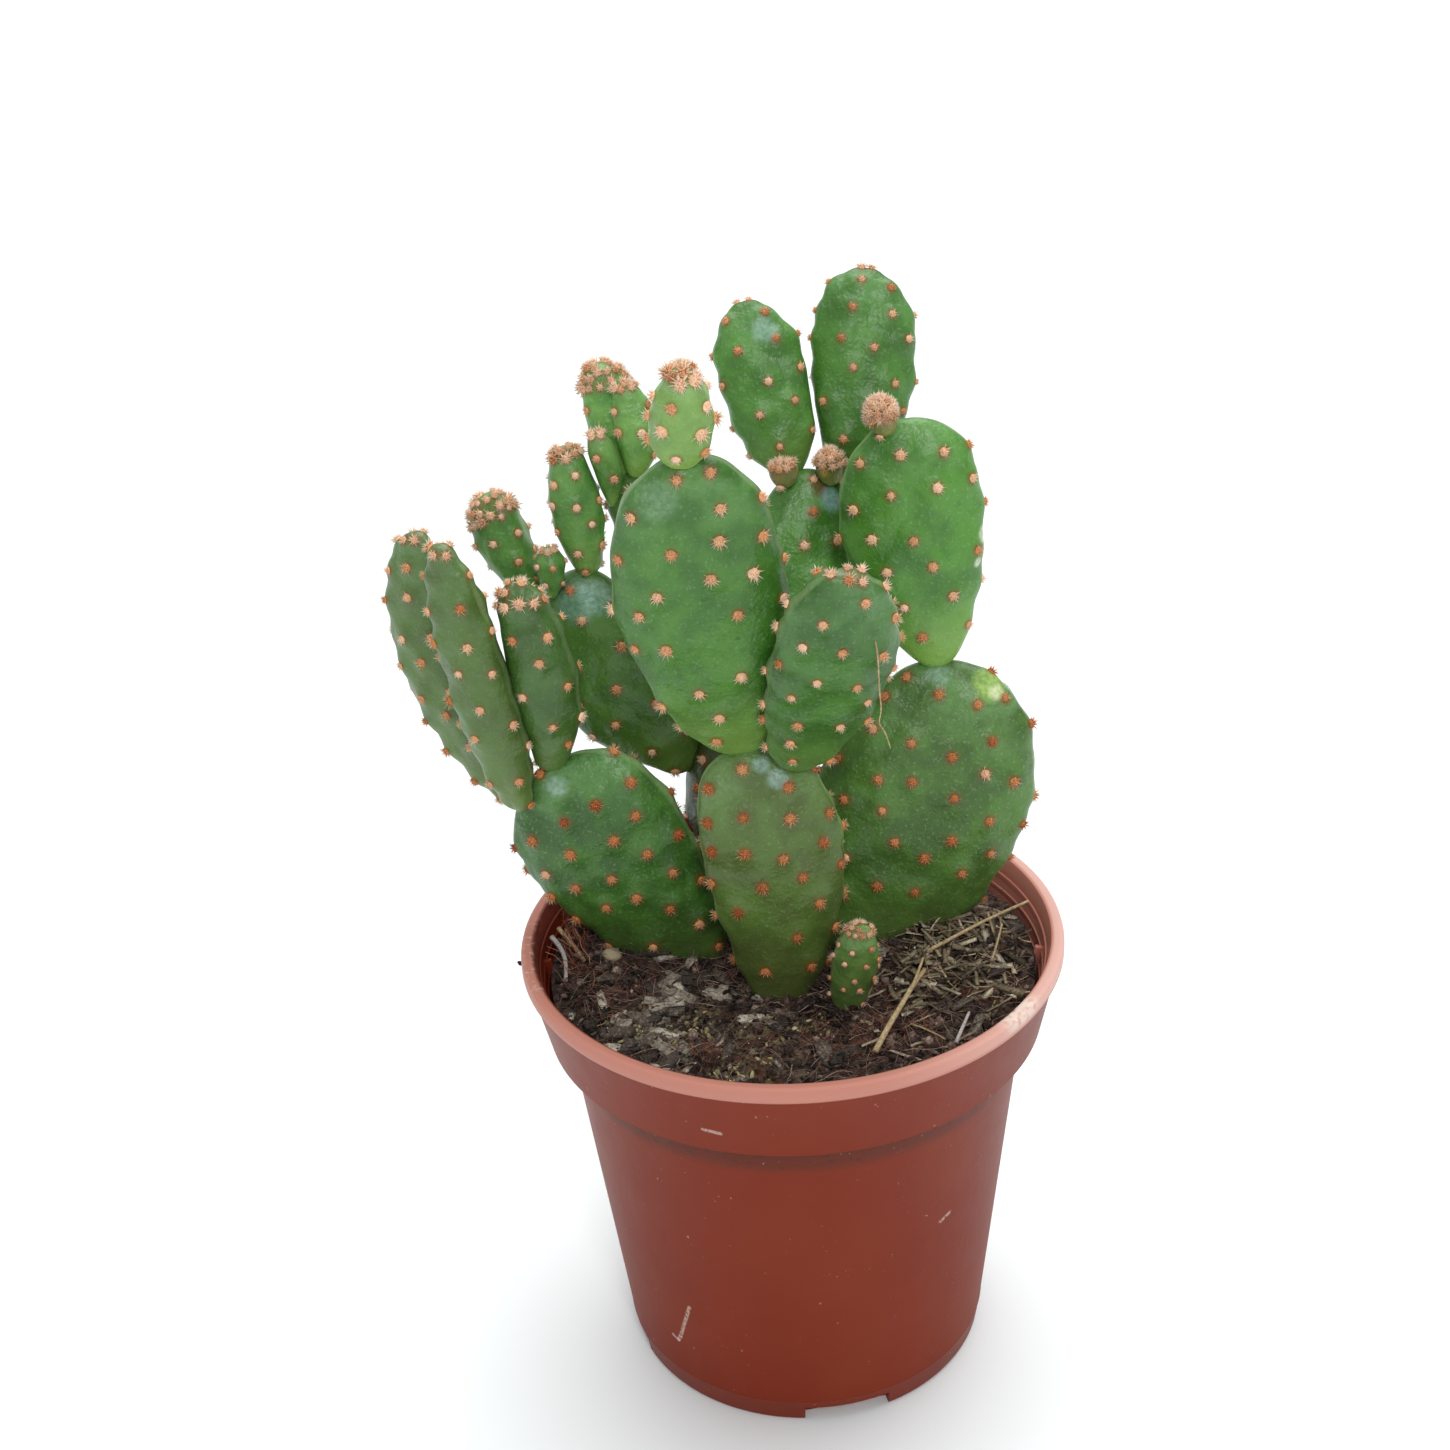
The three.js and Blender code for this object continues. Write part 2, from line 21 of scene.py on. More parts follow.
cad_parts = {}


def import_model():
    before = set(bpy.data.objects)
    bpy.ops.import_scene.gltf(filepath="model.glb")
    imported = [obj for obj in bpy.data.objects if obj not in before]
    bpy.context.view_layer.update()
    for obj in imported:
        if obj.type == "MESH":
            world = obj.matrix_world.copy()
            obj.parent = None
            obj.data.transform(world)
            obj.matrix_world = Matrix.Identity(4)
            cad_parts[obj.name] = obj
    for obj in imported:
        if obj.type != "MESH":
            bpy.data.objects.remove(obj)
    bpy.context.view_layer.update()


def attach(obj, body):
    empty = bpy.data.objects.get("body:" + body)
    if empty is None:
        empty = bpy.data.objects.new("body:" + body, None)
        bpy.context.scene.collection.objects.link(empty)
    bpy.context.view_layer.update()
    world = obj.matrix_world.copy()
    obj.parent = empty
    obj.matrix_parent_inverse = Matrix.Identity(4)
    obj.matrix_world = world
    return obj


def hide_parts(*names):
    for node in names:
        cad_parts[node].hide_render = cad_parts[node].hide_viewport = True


LOG = logging.getLogger("potted_cactus")
BODY = "root"
MM = 0.001
UP = np.array([0.0, 0.0, 1.0])

Colour = tuple[float, float, float, float]
Input = Union["Signal", float, Sequence[float]]


def tint(code: str) -> Colour:
    """Turn a colour written as #rrggbb into linear light.

    Args:
        code: The colour as seen, such as "#4a8544".

    Returns:
        Linear red, green and blue, with full alpha.
    """
    shares = [int(code[i : i + 2], 16) / 255 for i in (1, 3, 5)]
    linear = [s / 12.92 if s <= 0.04045 else ((s + 0.055) / 1.055) ** 2.4 for s in shares]
    return (linear[0], linear[1], linear[2], 1.0)


class Signal:
    """A shader socket whose Python operators add Math nodes."""

    def __init__(self, graph: Graph, socket: bpy.types.NodeSocket) -> None:
        """Keep the socket and the graph that it belongs to."""
        self.graph = graph
        self.socket = socket

    def _math(self, operation: str, first: Input, second: Input) -> Signal:
        """Add one Math node."""
        return self.graph.node("ShaderNodeMath", {"operation": operation}, {0: first, 1: second})

    def __add__(self, other: Input) -> Signal:
        """Add."""
        return self._math("ADD", self, other)

    __radd__ = __add__

    def __sub__(self, other: Input) -> Signal:
        """Subtract."""
        return self._math("SUBTRACT", self, other)

    def __rsub__(self, other: Input) -> Signal:
        """Subtract from."""
        return self._math("SUBTRACT", other, self)

    def __mul__(self, other: Input) -> Signal:
        """Multiply."""
        return self._math("MULTIPLY", self, other)

    __rmul__ = __mul__

    def __truediv__(self, other: Input) -> Signal:
        """Divide."""
        return self._math("DIVIDE", self, other)

    def __pow__(self, other: Input) -> Signal:
        """Raise to a power."""
        return self._math("POWER", self, other)

    def above(self, low: float, high: float) -> Signal:
        """Rise smoothly from 0 at low to 1 at high."""
        settings = {"interpolation_type": "SMOOTHSTEP"}
        inputs = {"Value": self, "From Min": low, "From Max": high}
        return self.graph.node("ShaderNodeMapRange", settings, inputs)

    def below(self, low: float, high: float) -> Signal:
        """Fall smoothly from 1 at low to 0 at high."""
        return 1 - self.above(low, high)


class Graph:
    """The node tree of one material."""

    def __init__(self, name: str) -> None:
        """Start a material with its principled shader.

        Args:
            name: The material's name.
        """
        self.material = bpy.data.materials.new(name)
        self.material.use_nodes = True
        self.tree = self.material.node_tree
        self.shader = self.tree.nodes["Principled BSDF"]

    def node(
        self,
        kind: str,
        settings: dict[str, object] | None = None,
        inputs: dict[str | int, Input] | None = None,
        output: int = 0,
    ) -> Signal:
        """Add a node.

        Args:
            kind: The node's type.
            settings: Its own settings, and stops for a ramp.
            inputs: Values or signals for its sockets, by name or number.
            output: The number of the socket that is read.

        Returns:
            The output as a signal.
        """
        made = self.tree.nodes.new(kind)
        for key, value in (settings or {}).items():
            if key == "stops":
                self._set_stops(made.color_ramp, value)
            else:
                setattr(made, key, value)
        for key, value in (inputs or {}).items():
            self._feed(made.inputs[key], value)
        return Signal(self, made.outputs[output])

    def _feed(self, socket: bpy.types.NodeSocket, value: Input) -> None:
        """Link a signal to a socket, or set its value."""
        if isinstance(value, Signal):
            self.tree.links.new(value.socket, socket)
        else:
            socket.default_value = value

    def _set_stops(self, ramp: bpy.types.ColorRamp, stops: Sequence[tuple[float, str]]) -> None:
        """Give a ramp its stops, each a place and a colour."""
        while len(ramp.elements) < len(stops):
            ramp.elements.new(1.0)
        for element, (place, code) in zip(ramp.elements, stops):
            element.position = place
            element.color = tint(code)

    def place(self) -> Signal:
        """Read the place on the object, in metres."""
        return self.node("ShaderNodeTexCoord", output=3)

    def axis(self, number: int) -> Signal:
        """Read one coordinate of the place: 0 is X, 1 is Y and 2 is Z."""
        return self.node("ShaderNodeSeparateXYZ", inputs={0: self.place()}, output=number)

    def attribute(self, name: str) -> Signal:
        """Read a number kept on the mesh."""
        return self.node("ShaderNodeAttribute", {"attribute_name": name}, output=2)

    def grain(self, size: float, detail: float = 2.0, stretch: Sequence[float] = (1, 1, 1)) -> Signal:
        """Read a noise whose lumps are about size across.

        Args:
            size: The size of a lump, in metres.
            detail: How many finer layers it has.
            stretch: How much longer the lumps are along each axis.

        Returns:
            The noise, about 0.5 on average.
        """
        place = self.place()
        if tuple(stretch) != (1, 1, 1):
            settings = {"vector_type": "TEXTURE"}
            place = self.node("ShaderNodeMapping", settings, {"Vector": place, "Scale": stretch})
        inputs = {"Vector": place, "Scale": 1 / size, "Detail": detail}
        return self.node("ShaderNodeTexNoise", inputs=inputs)

    def mix(self, share: Input, first: Input | str, second: Input | str) -> Signal:
        """Blend two colours, given as signals or codes."""
        ends = [tint(end) if isinstance(end, str) else end for end in (first, second)]
        inputs = {0: share, 6: ends[0], 7: ends[1]}
        return self.node("ShaderNodeMix", {"data_type": "RGBA"}, inputs, 2)

    def ramp(self, value: Signal, stops: Sequence[tuple[float, str]]) -> Signal:
        """Turn a number into a colour along the stops."""
        return self.node("ShaderNodeValToRGB", {"stops": stops}, {0: value})

    def near(self, centre: Sequence[float], reach: float) -> Signal:
        """Read 1 at a place and 0 past reach from it, in metres."""
        settings = {"operation": "DISTANCE"}
        away = self.node("ShaderNodeVectorMath", settings, {0: self.place(), 1: centre}, 1)
        return away.below(reach * 0.4, reach)

    def line(self, start: Sequence[float], end: Sequence[float], reach: float) -> Signal:
        """Read 1 along a straight line and 0 past reach from it, in metres."""
        along = Vector(end) - Vector(start)
        offset = self.node(
            "ShaderNodeVectorMath", {"operation": "SUBTRACT"}, {0: self.place(), 1: start}
        )
        share = self.node(
            "ShaderNodeVectorMath",
            {"operation": "DOT_PRODUCT"},
            {0: offset, 1: along / along.length_squared},
            1,
        )
        held = self.node("ShaderNodeClamp", inputs={0: share})
        foot = self.node(
            "ShaderNodeVectorMath", {"operation": "SCALE"}, {0: tuple(along), "Scale": held}
        )
        away = self.node("ShaderNodeVectorMath", {"operation": "DISTANCE"}, {0: offset, 1: foot}, 1)
        return away.below(reach * 0.4, reach)

    def finish(
        self,
        color: Input | str,
        roughness: Input,
        relief: Signal | None = None,
        depth: float = 0.05 * MM,
        **constants: Input,
    ) -> bpy.types.Material:
        """Feed the shader.

        Args:
            color: The base colour.
            roughness: The roughness.
            relief: The height of the fine relief, from 0 to 1.
            depth: How deep the relief is, in metres.
            constants: Values of other sockets, by their names with _ for a space.

        Returns:
            The finished material.
        """
        sockets = self.shader.inputs
        self._feed(sockets["Base Color"], tint(color) if isinstance(color, str) else color)
        self._feed(sockets["Roughness"], roughness)
        for key, value in constants.items():
            self._feed(sockets[key.replace("_", " ")], value)
        if relief is not None:
            bump = self.node("ShaderNodeBump", inputs={"Height": relief, "Distance": depth})
            self._feed(sockets["Normal"], bump)
        return self.material


@dataclass(frozen=True)
class Mark:
    """A ragged spot of another colour on the skin, with its place and reach in millimetres: a scar, a stain
    or a painted sheen.
    """

    at: tuple[float, float, float]
    reach: float
    color: str
    share: float = 0.8


@dataclass(frozen=True)
class PadSkin:
    """The waxy skin of a pad: greens, the foot, pale waxy speckle, the areoles' stains, a painted sheen near
    the tip, painted rim light along the edges, and marks that are scars, stains or painted sheens.
    """

    name: str
    deep: str
    fresh: str
    foot: str
    olive: str = "#6a6a35"
    # Pale bluish colour of the waxy speckle, also used for the painted sheen near the tip
    bloom_and_sheen: str = "#93b78f"
    # Pale colour of the painted rim light along the pad's edges
    edge: str = "#9bb480"
    stain: str = "#7d4422"
    dust: str = "#4a3f2c"
    gloss: float = 0.33
    marks: tuple[Mark, ...] = ()

    def paint(self) -> bpy.types.Material:
        """Build the material."""
        g = Graph(self.name)
        along = g.attribute("along")
        color = g.mix(g.grain(4 * MM, 4).above(0.36, 0.64), self.deep, self.fresh)
        color = g.mix(g.grain(1.6 * MM, 3).above(0.48, 0.68) * 0.5, color, self.fresh)
        color = g.mix(g.grain(0.8 * MM, 2).above(0.52, 0.75) * 0.5, color, self.deep)
        color = g.mix(g.grain(0.3 * MM, 1).above(0.58, 0.74) * 0.22, color, self.bloom_and_sheen)
        color = g.mix(along.below(0.02, 0.38) * 0.7, color, self.foot)
        color = g.mix(g.attribute("olive"), color, self.olive)
        patchy = g.grain(0.5 * MM, 2).above(0.3, 0.7)
        # Painted sheen: near the tip the skin is mixed towards the pale bluish colour, as if its top caught
        # the light; it is also a little glossier there
        tip_sheen = along.above(0.72, 1) * g.grain(4 * MM).above(0.35, 0.6)
        color = g.mix(tip_sheen * (patchy * 0.12 + 0.1), color, self.bloom_and_sheen)
        # Painted rim light: the skin is made pale where the rim number is near 1, along the pad's edges
        color = g.mix(g.attribute("rim").above(0.955, 1) * 0.4, color, self.edge)
        # Each pad's own brightness; on a pad in shadow, such as low_back_pad, its low value is painted shade
        bright = {"Color": color, "Value": g.attribute("light")}
        color = g.node("ShaderNodeHueSaturation", inputs=bright)
        low = g.axis(2).below(43 * MM, 54 * MM) * (g.grain(1.5 * MM, 4) * 0.6 + 0.4)
        color = g.mix(low * 0.6, color, self.dust)
        areole = g.attribute("areole")
        color = g.mix(areole.above(0.3, 0.95) * 0.7, color, self.stain)
        # The marks: scars and stains, and painted sheens where a pad's top would catch the light
        for mark in self.marks:
            spot = g.near(tuple(Vector(mark.at) * MM), mark.reach * MM)
            color = g.mix(spot * (patchy * 0.5 + 0.5) * mark.share, color, mark.color)
        roughness = self.gloss + g.grain(2 * MM, 3) * 0.14 - tip_sheen * 0.06
        relief = g.grain(2.4 * MM, 1) * 0.6 + g.grain(0.9 * MM, 1) * 0.25 + g.grain(0.3 * MM, 1) * 0.15
        return g.finish(color, roughness, relief, 0.4 * MM, Specular_IOR_Level=0.5)


@dataclass(frozen=True)
class BristleFinish:
    """Short bristles, from a dark root through rust to a pale tip."""

    root: str = "#964a22"
    middle: str = "#cb8650"
    shoulder: str = "#efc49c"
    tip: str = "#fdecd8"
    downy: str = "#fcd3b4"

    def paint(self) -> bpy.types.Material:
        """Build the material."""
        g = Graph("bristles")
        uv = g.node("ShaderNodeUVMap", {"uv_map": "grain"})
        draw = g.node("ShaderNodeSeparateXYZ", inputs={0: uv}, output=0)
        height = g.node("ShaderNodeSeparateXYZ", inputs={0: uv}, output=1)
        speckle = g.grain(0.16 * MM, 2)
        height = height + (draw - 0.45) * 0.5 + (speckle - 0.5) * 0.35
        stops = [(0.25, self.root), (0.5, self.middle), (0.74, self.shoulder), (0.96, self.tip)]
        color = g.mix(draw.above(0.75, 1) * 0.55, g.ramp(height, stops), self.downy)
        return g.finish(color, 0.7, speckle, 0.05 * MM, Specular_IOR_Level=0.2)


@dataclass(frozen=True)
class PotPlastic:
    """Brick-red plastic with dust, a scratch, lime on the lip, a painted highlight on the lip's top, which
    is paler towards the right, painted light and shade on the inner wall, and a painted shadow with dirty
    specks under the collar.
    """

    brick: str = "#77270f"
    pale: str = "#7f3016"
    # Painted light: the lip's top is paler, as if lit from above
    lip: str = "#d39484"
    # Paler colour mixed into the lip's top towards the right
    pale_right_lip: str = "#e8bfb4"
    # Painted light and shade of the inner wall: pale pink where lit on the right, dark red-brown where
    # shaded on the left
    inside: str = "#bd7868"
    shaded: str = "#6a2617"
    lime: str = "#e6dccf"
    # Colour of the painted shadow under the collar, with dirty specks
    dirt_and_shade: str = "#33251c"
    dusty: str = "#c9b2a6"

    def paint(self) -> bpy.types.Material:
        """Build the material."""
        g = Graph("pot_plastic")
        height = g.axis(2)
        color = g.mix(g.grain(14 * MM).above(0.35, 0.7) * 0.5, self.brick, self.pale)
        # Painted light: the lip's top is mixed towards pale salmon, as if lit from above
        color = g.mix(height.above(46.6 * MM, 47.2 * MM) * 0.7, color, self.lip)
        # The lip's top is made paler towards the right
        pale_right_lip = height.above(47 * MM, 47.6 * MM) * g.axis(0).above(4 * MM, 26 * MM)
        color = g.mix(pale_right_lip * 0.65, color, self.pale_right_lip)
        inner = self.inner_wall(g, height)
        # Painted light and shade on the inner wall: dark on the left as if in shadow, pale on the right as
        # if lit and reflecting
        side = g.axis(0).above(-14 * MM, 16 * MM)
        color = g.mix(inner * 0.9, color, g.mix(side, self.shaded, self.inside))
        # Painted shadow under the collar's overhang, with dirty specks in it
        collar_shadow_band = height.above(35.2 * MM, 36.8 * MM) * height.below(39.2 * MM, 39.5 * MM)
        specks = g.grain(0.7 * MM, 3).above(0.58, 0.7)
        color = g.mix(collar_shadow_band * (specks * 0.4 + 0.45), color, self.dirt_and_shade)
        dust = g.grain(0.45 * MM, 2).above(0.7, 0.78) * g.grain(4 * MM).above(0.45, 0.65)
        color = g.mix(dust * 0.5, color, self.dusty)
        color = g.mix(self.scratches(g) * 0.6, color, self.dusty)
        lime = self.lime_crust(g, height)
        color = g.mix(lime * 0.7, color, self.lime)
        roughness = 0.42 + g.grain(3 * MM, 3) * 0.1 + lime * 0.3 - inner * 0.17
        relief = g.grain(0.8 * MM, 2) * 0.6 + lime * 0.4
        return g.finish(color, roughness, relief, 0.03 * MM, Specular_IOR_Level=0.16)

    def inner_wall(self, g: Graph, height: Signal) -> Signal:
        """Read 1 on the inside of the wall and 0 outside it."""
        x, y = g.axis(0), g.axis(1)
        radius = (x * x + y * y) ** 0.5
        middle = (height - 40 * MM) * 0.22 + 24.7 * MM
        return (middle - radius).above(0.0, 0.3 * MM) * height.above(40.2 * MM, 40.6 * MM)

    def scratches(self, g: Graph) -> Signal:
        """Draw the hooked scratch low on the left and two short ones on the right."""
        strokes = [
            ((-12.5, -16.3, 13.8), (-13.7, -14.5, 8.4)),
            ((-13.7, -14.5, 8.4), (-14.0, -14.1, 7.5)),
            ((-14.0, -14.1, 7.5), (-14.5, -13.6, 7.8)),
            ((13.1, -17.4, 24.0), (14.1, -16.6, 24.5)),
            ((-9.7, -24.2, 42.2), (-8.1, -24.7, 42.0)),
        ]
        drawn: Signal | float = 0.0
        for start, end in strokes:
            ends = [tuple(Vector(point) * MM) for point in (start, end)]
            drawn = g.line(ends[0], ends[1], 0.3 * MM) + drawn
        return drawn * g.grain(0.3 * MM, 2).above(0.35, 0.5)

    def lime_crust(self, g: Graph, height: Signal) -> Signal:
        """Read the lime crust on the lip, at its right front and in flecks on its left."""
        fine = g.grain(0.6 * MM, 5)
        crust = g.near((20.7 * MM, -17.0 * MM, 48.5 * MM), 3.7 * MM) * fine.above(0.3, 0.55)
        left = g.near((-26.5 * MM, -3.0 * MM, 48.5 * MM), 9 * MM) * fine.above(0.52, 0.7)
        return (crust + left * 0.5) * height.above(47.2 * MM, 48.0 * MM)


@dataclass(frozen=True)
class Peat:
    """Dark fibrous soil with grey-green crust and brown fuzz."""

    dark: str = "#120d0b"
    brown: str = "#54433b"
    crust: str = "#857b55"
    grey: str = "#6b625c"
    fuzz: str = "#6d4434"

    def paint(self) -> bpy.types.Material:
        """Build the material."""
        g = Graph("soil")
        color = g.mix(g.grain(0.9 * MM, 5).above(0.36, 0.66), self.dark, self.brown)
        color = g.mix(g.grain(0.5 * MM, 3).above(0.6, 0.72) * 0.5, color, self.grey)
        mossy = g.near((-8 * MM, -15 * MM, 44 * MM), 12 * MM) * g.grain(1.2 * MM, 4).above(0.5, 0.62)
        color = g.mix(mossy * 0.7, color, self.crust)
        fuzzy = g.grain(3 * MM, 3).above(0.54, 0.66)
        color = g.mix(fuzzy * 0.6, color, self.fuzz)
        relief = g.grain(0.3 * MM, 4)
        return g.finish(color, 0.92, relief, 0.4 * MM, Specular_IOR_Level=0.25)


@dataclass(frozen=True)
class DryFibre:
    """Bark, straw, roots or stone: a dry finish whose shade is drawn for each piece."""

    name: str
    stops: tuple[tuple[float, str], ...]
    roughness: float = 0.8
    # Share and colour of the painted shadow in the gaps between pieces
    gap_shadow: float = 0.0
    gap_shadow_colour: str = "#0d0a09"

    def paint(self) -> bpy.types.Material:
        """Build the material, with painted shadow in dark patches that stand for the shaded gaps between
        pieces.
        """
        g = Graph(self.name)
        uv = g.node("ShaderNodeUVMap", {"uv_map": "grain"})
        draw = g.node("ShaderNodeSeparateXYZ", inputs={0: uv}, output=0)
        streaks = g.grain(0.3 * MM, 3)
        color = g.ramp(draw * 0.75 + streaks * 0.7 - 0.22, self.stops)
        # Painted shadow: dark patches stand for the shaded gaps between the pieces
        shadowed_gaps = g.grain(3.5 * MM, 3).above(0.47, 0.62)
        color = g.mix(shadowed_gaps * self.gap_shadow, color, self.gap_shadow_colour)
        return g.finish(color, self.roughness, streaks, 0.12 * MM, Specular_IOR_Level=0.3)


SKIN_FIRST = PadSkin(
    "first_pad",
    "#2f581b",
    "#457527",
    "#587f36",
    marks=(
        Mark((20.9, 5.7, 72.0), 2.3, "#a3c566", 0.9),
        Mark((21.4, 5.6, 71.0), 1.1, "#dfe6b8"),
        # Painted sheens: pale bluish spots where the low pads' tops would catch the light
        Mark((-22.6, 2.5, 64.8), 1.5, "#b5cfc9", 0.4),
        Mark((-2.2, -4.3, 69.7), 1.2, "#b3d3d8", 0.4),
        Mark((-0.8, -4.8, 68.3), 1.4, "#b3d3d8", 0.4),
        Mark((15.8, 5.8, 73.3), 1.6, "#a4c4be", 0.35),
    ),
)
SKIN_OLD = PadSkin(
    "old_pad",
    "#3b6f1f",
    "#50882b",
    "#83a84e",
    marks=(
        Mark((-3.93, -9.5, 85.17), 0.45, "#17140d", 0.95),
        Mark((20.4, 7.2, 87.3), 1.1, "#dfe3cc"),
        Mark((19.8, 6.3, 84.8), 0.7, "#dfe3cc"),
        Mark((5.2, 14.0, 90.3), 1.2, "#6d1d12"),
        # Painted sheens: pale bluish spots where the old pads' tops would catch the light
        Mark((6.3, 13.8, 89.3), 1.7, "#a4cbd8", 0.6),
        Mark((-19.6, 12.0, 80.6), 3.0, "#8fbab4", 0.45),
        Mark((-17.6, 11.8, 81.0), 2.4, "#8fbab4", 0.4),
        Mark((-10.5, -11.3, 99.6), 2.6, "#a5c4a5", 0.28),
    ),
)
SKIN_GROWN = PadSkin(
    "grown_pad",
    "#3b6a22",
    "#4d832f",
    "#6f9445",
    marks=(
        # Painted sheen: a pale bluish spot where a tall pad's top would catch the light
        Mark((0.5, 18.9, 105.3), 1.8, "#a8ccc8", 0.4),
        Mark((-36.7, 10.0, 72.2), 1.0, "#8a6a4e"),
    ),
)
SKIN_YOUNG = PadSkin("young_pad", "#477a31", "#649644", "#84a850")
SKIN_BUD = PadSkin(
    "bud", "#5c7436", "#8a7a48", "#87994f", marks=(Mark((5.3, 12.9, 92.2), 0.9, "#e2a040"),)
)
BARK = DryFibre(
    "bark", ((0.1, "#1d1714"), (0.42, "#574c44"), (0.65, "#9a8f80"), (0.92, "#ddd4c2")), 0.8, 0.2
)
STRAW = DryFibre("straw", ((0.15, "#3a2b1f"), (0.45, "#7d6649"), (0.75, "#b09a74"), (0.98, "#dccdab")))
MATTED = DryFibre(
    "matted_straw", ((0.1, "#352b22"), (0.4, "#7a6d56"), (0.7, "#a99c80"), (0.95, "#d6ccb3")), 0.8, 0.5
)
GREY_STRAW = DryFibre("grey_straw", ((0.1, "#5d5552"), (0.5, "#8f8784"), (0.9, "#c0bab8")))
STONE = DryFibre("stone", ((0.2, "#a79a7c"), (0.6, "#d6cdb4"), (0.9, "#efe9d8")), 0.6)
CRUMB = DryFibre(
    "crumb", ((0.15, "#17110e"), (0.5, "#45362f"), (0.8, "#7a655a"), (0.97, "#b39f92")), 0.85, 0.7
)
MOSS = DryFibre("moss", ((0.1, "#2f2e1f"), (0.4, "#6e6747"), (0.7, "#a89b72"), (0.97, "#dccfa8")))
FIBRE = DryFibre(
    "fibre", ((0.1, "#38261f"), (0.45, "#6e5046"), (0.75, "#94786a"), (0.97, "#c6b2a0")), 0.8, 0.55
)
SPECK = DryFibre("speck", ((0.2, "#b9b2a8"), (0.8, "#f2efe8")))
ROOT_HAIR = DryFibre("root_hair", ((0.1, "#4e2619"), (0.5, "#8a4b36"), (0.9, "#bd8a70")))


@dataclass(frozen=True)
class Growth:
    """How a pad of one age looks: its skin, its mesh and its areoles, with a dense cap at the tip."""

    skin: PadSkin
    slot: str
    segments: int
    rings: int
    gap: float
    cap: float
    size: float
    relief: float
    paleness: float
    fuzz: float = 0.0


class Age(Enum):
    """The ages of pads."""

    FIRST = Growth(SKIN_FIRST, "old_pad", 112, 72, 4.4 * MM, 1.0, 1.08, 0.42 * MM, 0.3)
    OLD = Growth(SKIN_OLD, "old_pad", 112, 72, 4.6 * MM, 1.0, 1.0, 0.38 * MM, 0.66)
    GROWN = Growth(SKIN_GROWN, "grown_pad", 88, 64, 4.0 * MM, 0.95, 0.86, 0.46 * MM, 0.66)
    YOUNG = Growth(SKIN_YOUNG, "young_pad", 64, 44, 3.0 * MM, 0.8, 0.85, 0.26 * MM, 0.8)
    SHOOT = Growth(SKIN_YOUNG, "bud", 48, 40, 2.1 * MM, 0.9, 0.6, 0.2 * MM, 0.75)
    BUD = Growth(SKIN_BUD, "bud", 44, 32, 2.4 * MM, 0.35, 0.85, 0.1 * MM, 0.85, 0.4 * MM)


@dataclass(frozen=True)
class Seat:
    """A place on the rim of another pad: degrees from its tip and a shift to the view side."""

    on: str
    at: float
    shift: float = 0.0


@dataclass(frozen=True)
class Areole:
    """One tuft's place on a pad."""

    at: np.ndarray
    normal: np.ndarray
    share: float


@dataclass(frozen=True)
class Look:
    """How a pad differs from its age: brightness, olive tone, tuft size and where its cap starts; on a pad
    that stands in shadow the low brightness and olive tone are painted shade.
    """

    light: float = 1.0
    olive: float = 0.0
    tufts: float = 1.0
    cap: float = 1.0


LOOKS: dict[str, Look] = {
    "low_left_pad": Look(1.0, 0.0),
    "low_front_pad": Look(1.05, 0.35, 1.05),
    "low_right_pad": Look(1.1, 0.12, 0.95),
    # low_back_pad is darkened and made olive as painted shade, for it stands in shadow behind the front pads
    "low_back_pad": Look(0.5, 0.4),
    "front_pad": Look(0.8, 0.0, 1.1),
    "front_right_pad": Look(0.74, 0.0, 1.08),
    "right_pad": Look(1.04, 0.0),
    "back_pad": Look(0.94, 0.0, 0.95),
    "back_shoot": Look(1.3, 0.0, 1.1),
    "middle_shoot": Look(1.3, 0.1, 1.1),
    "small_shoot": Look(1.1, 0.1, 1.1),
    "shiny_pad": Look(0.85, 0.15),
    "hidden_pad": Look(0.75, 0.2),
    "left_outer_pad": Look(0.76, 0.35, 1.1),
    "left_inner_pad": Look(0.78, 0.35, 1.12, 0.92),
    "left_small_pad": Look(0.62, 0.15, 1.1, 0.88),
    "tall_left_pad": Look(1.1, 0.0, 0.92),
    "tall_right_pad": Look(0.97, 0.0, 0.92),
    "crown_pad": Look(1.4, 0.35, 1.3, 0.77),
    "soil_shoot": Look(1.0, 0.2),
}

END_BLUNTNESS = 0.9
FACE_BLUNTNESS = 0.85
SECTION_BLUNTNESS = 0.9
CHILD_INSET = 1.0 * MM
END_MARGIN = 0.08
# Share of a swelling by which the skin between the areoles lies lower
VALLEY_SHARE = 0.55
# Width of a swelling, as a share of the gap between areoles
SWELLING_SHARE = 0.36
# Least room between areoles, the climb from ring to ring and the first ring's place, as shares of the gap
ROOM_SHARE = 0.72
RING_SHARE = 0.87
FIRST_RING = 0.5
# How much closer areoles stand in the cap, and how much closer at the tip than at the foot
CAP_SHARE = 0.37
TIP_CLOSING = 0.15
# How far an areole strays round its ring, as a share of the gap, and along the pad, in radians
DRIFT = 0.13
CLIMB = 0.06
# Reach of the stain round an areole
STAIN_REACH = 0.95 * MM


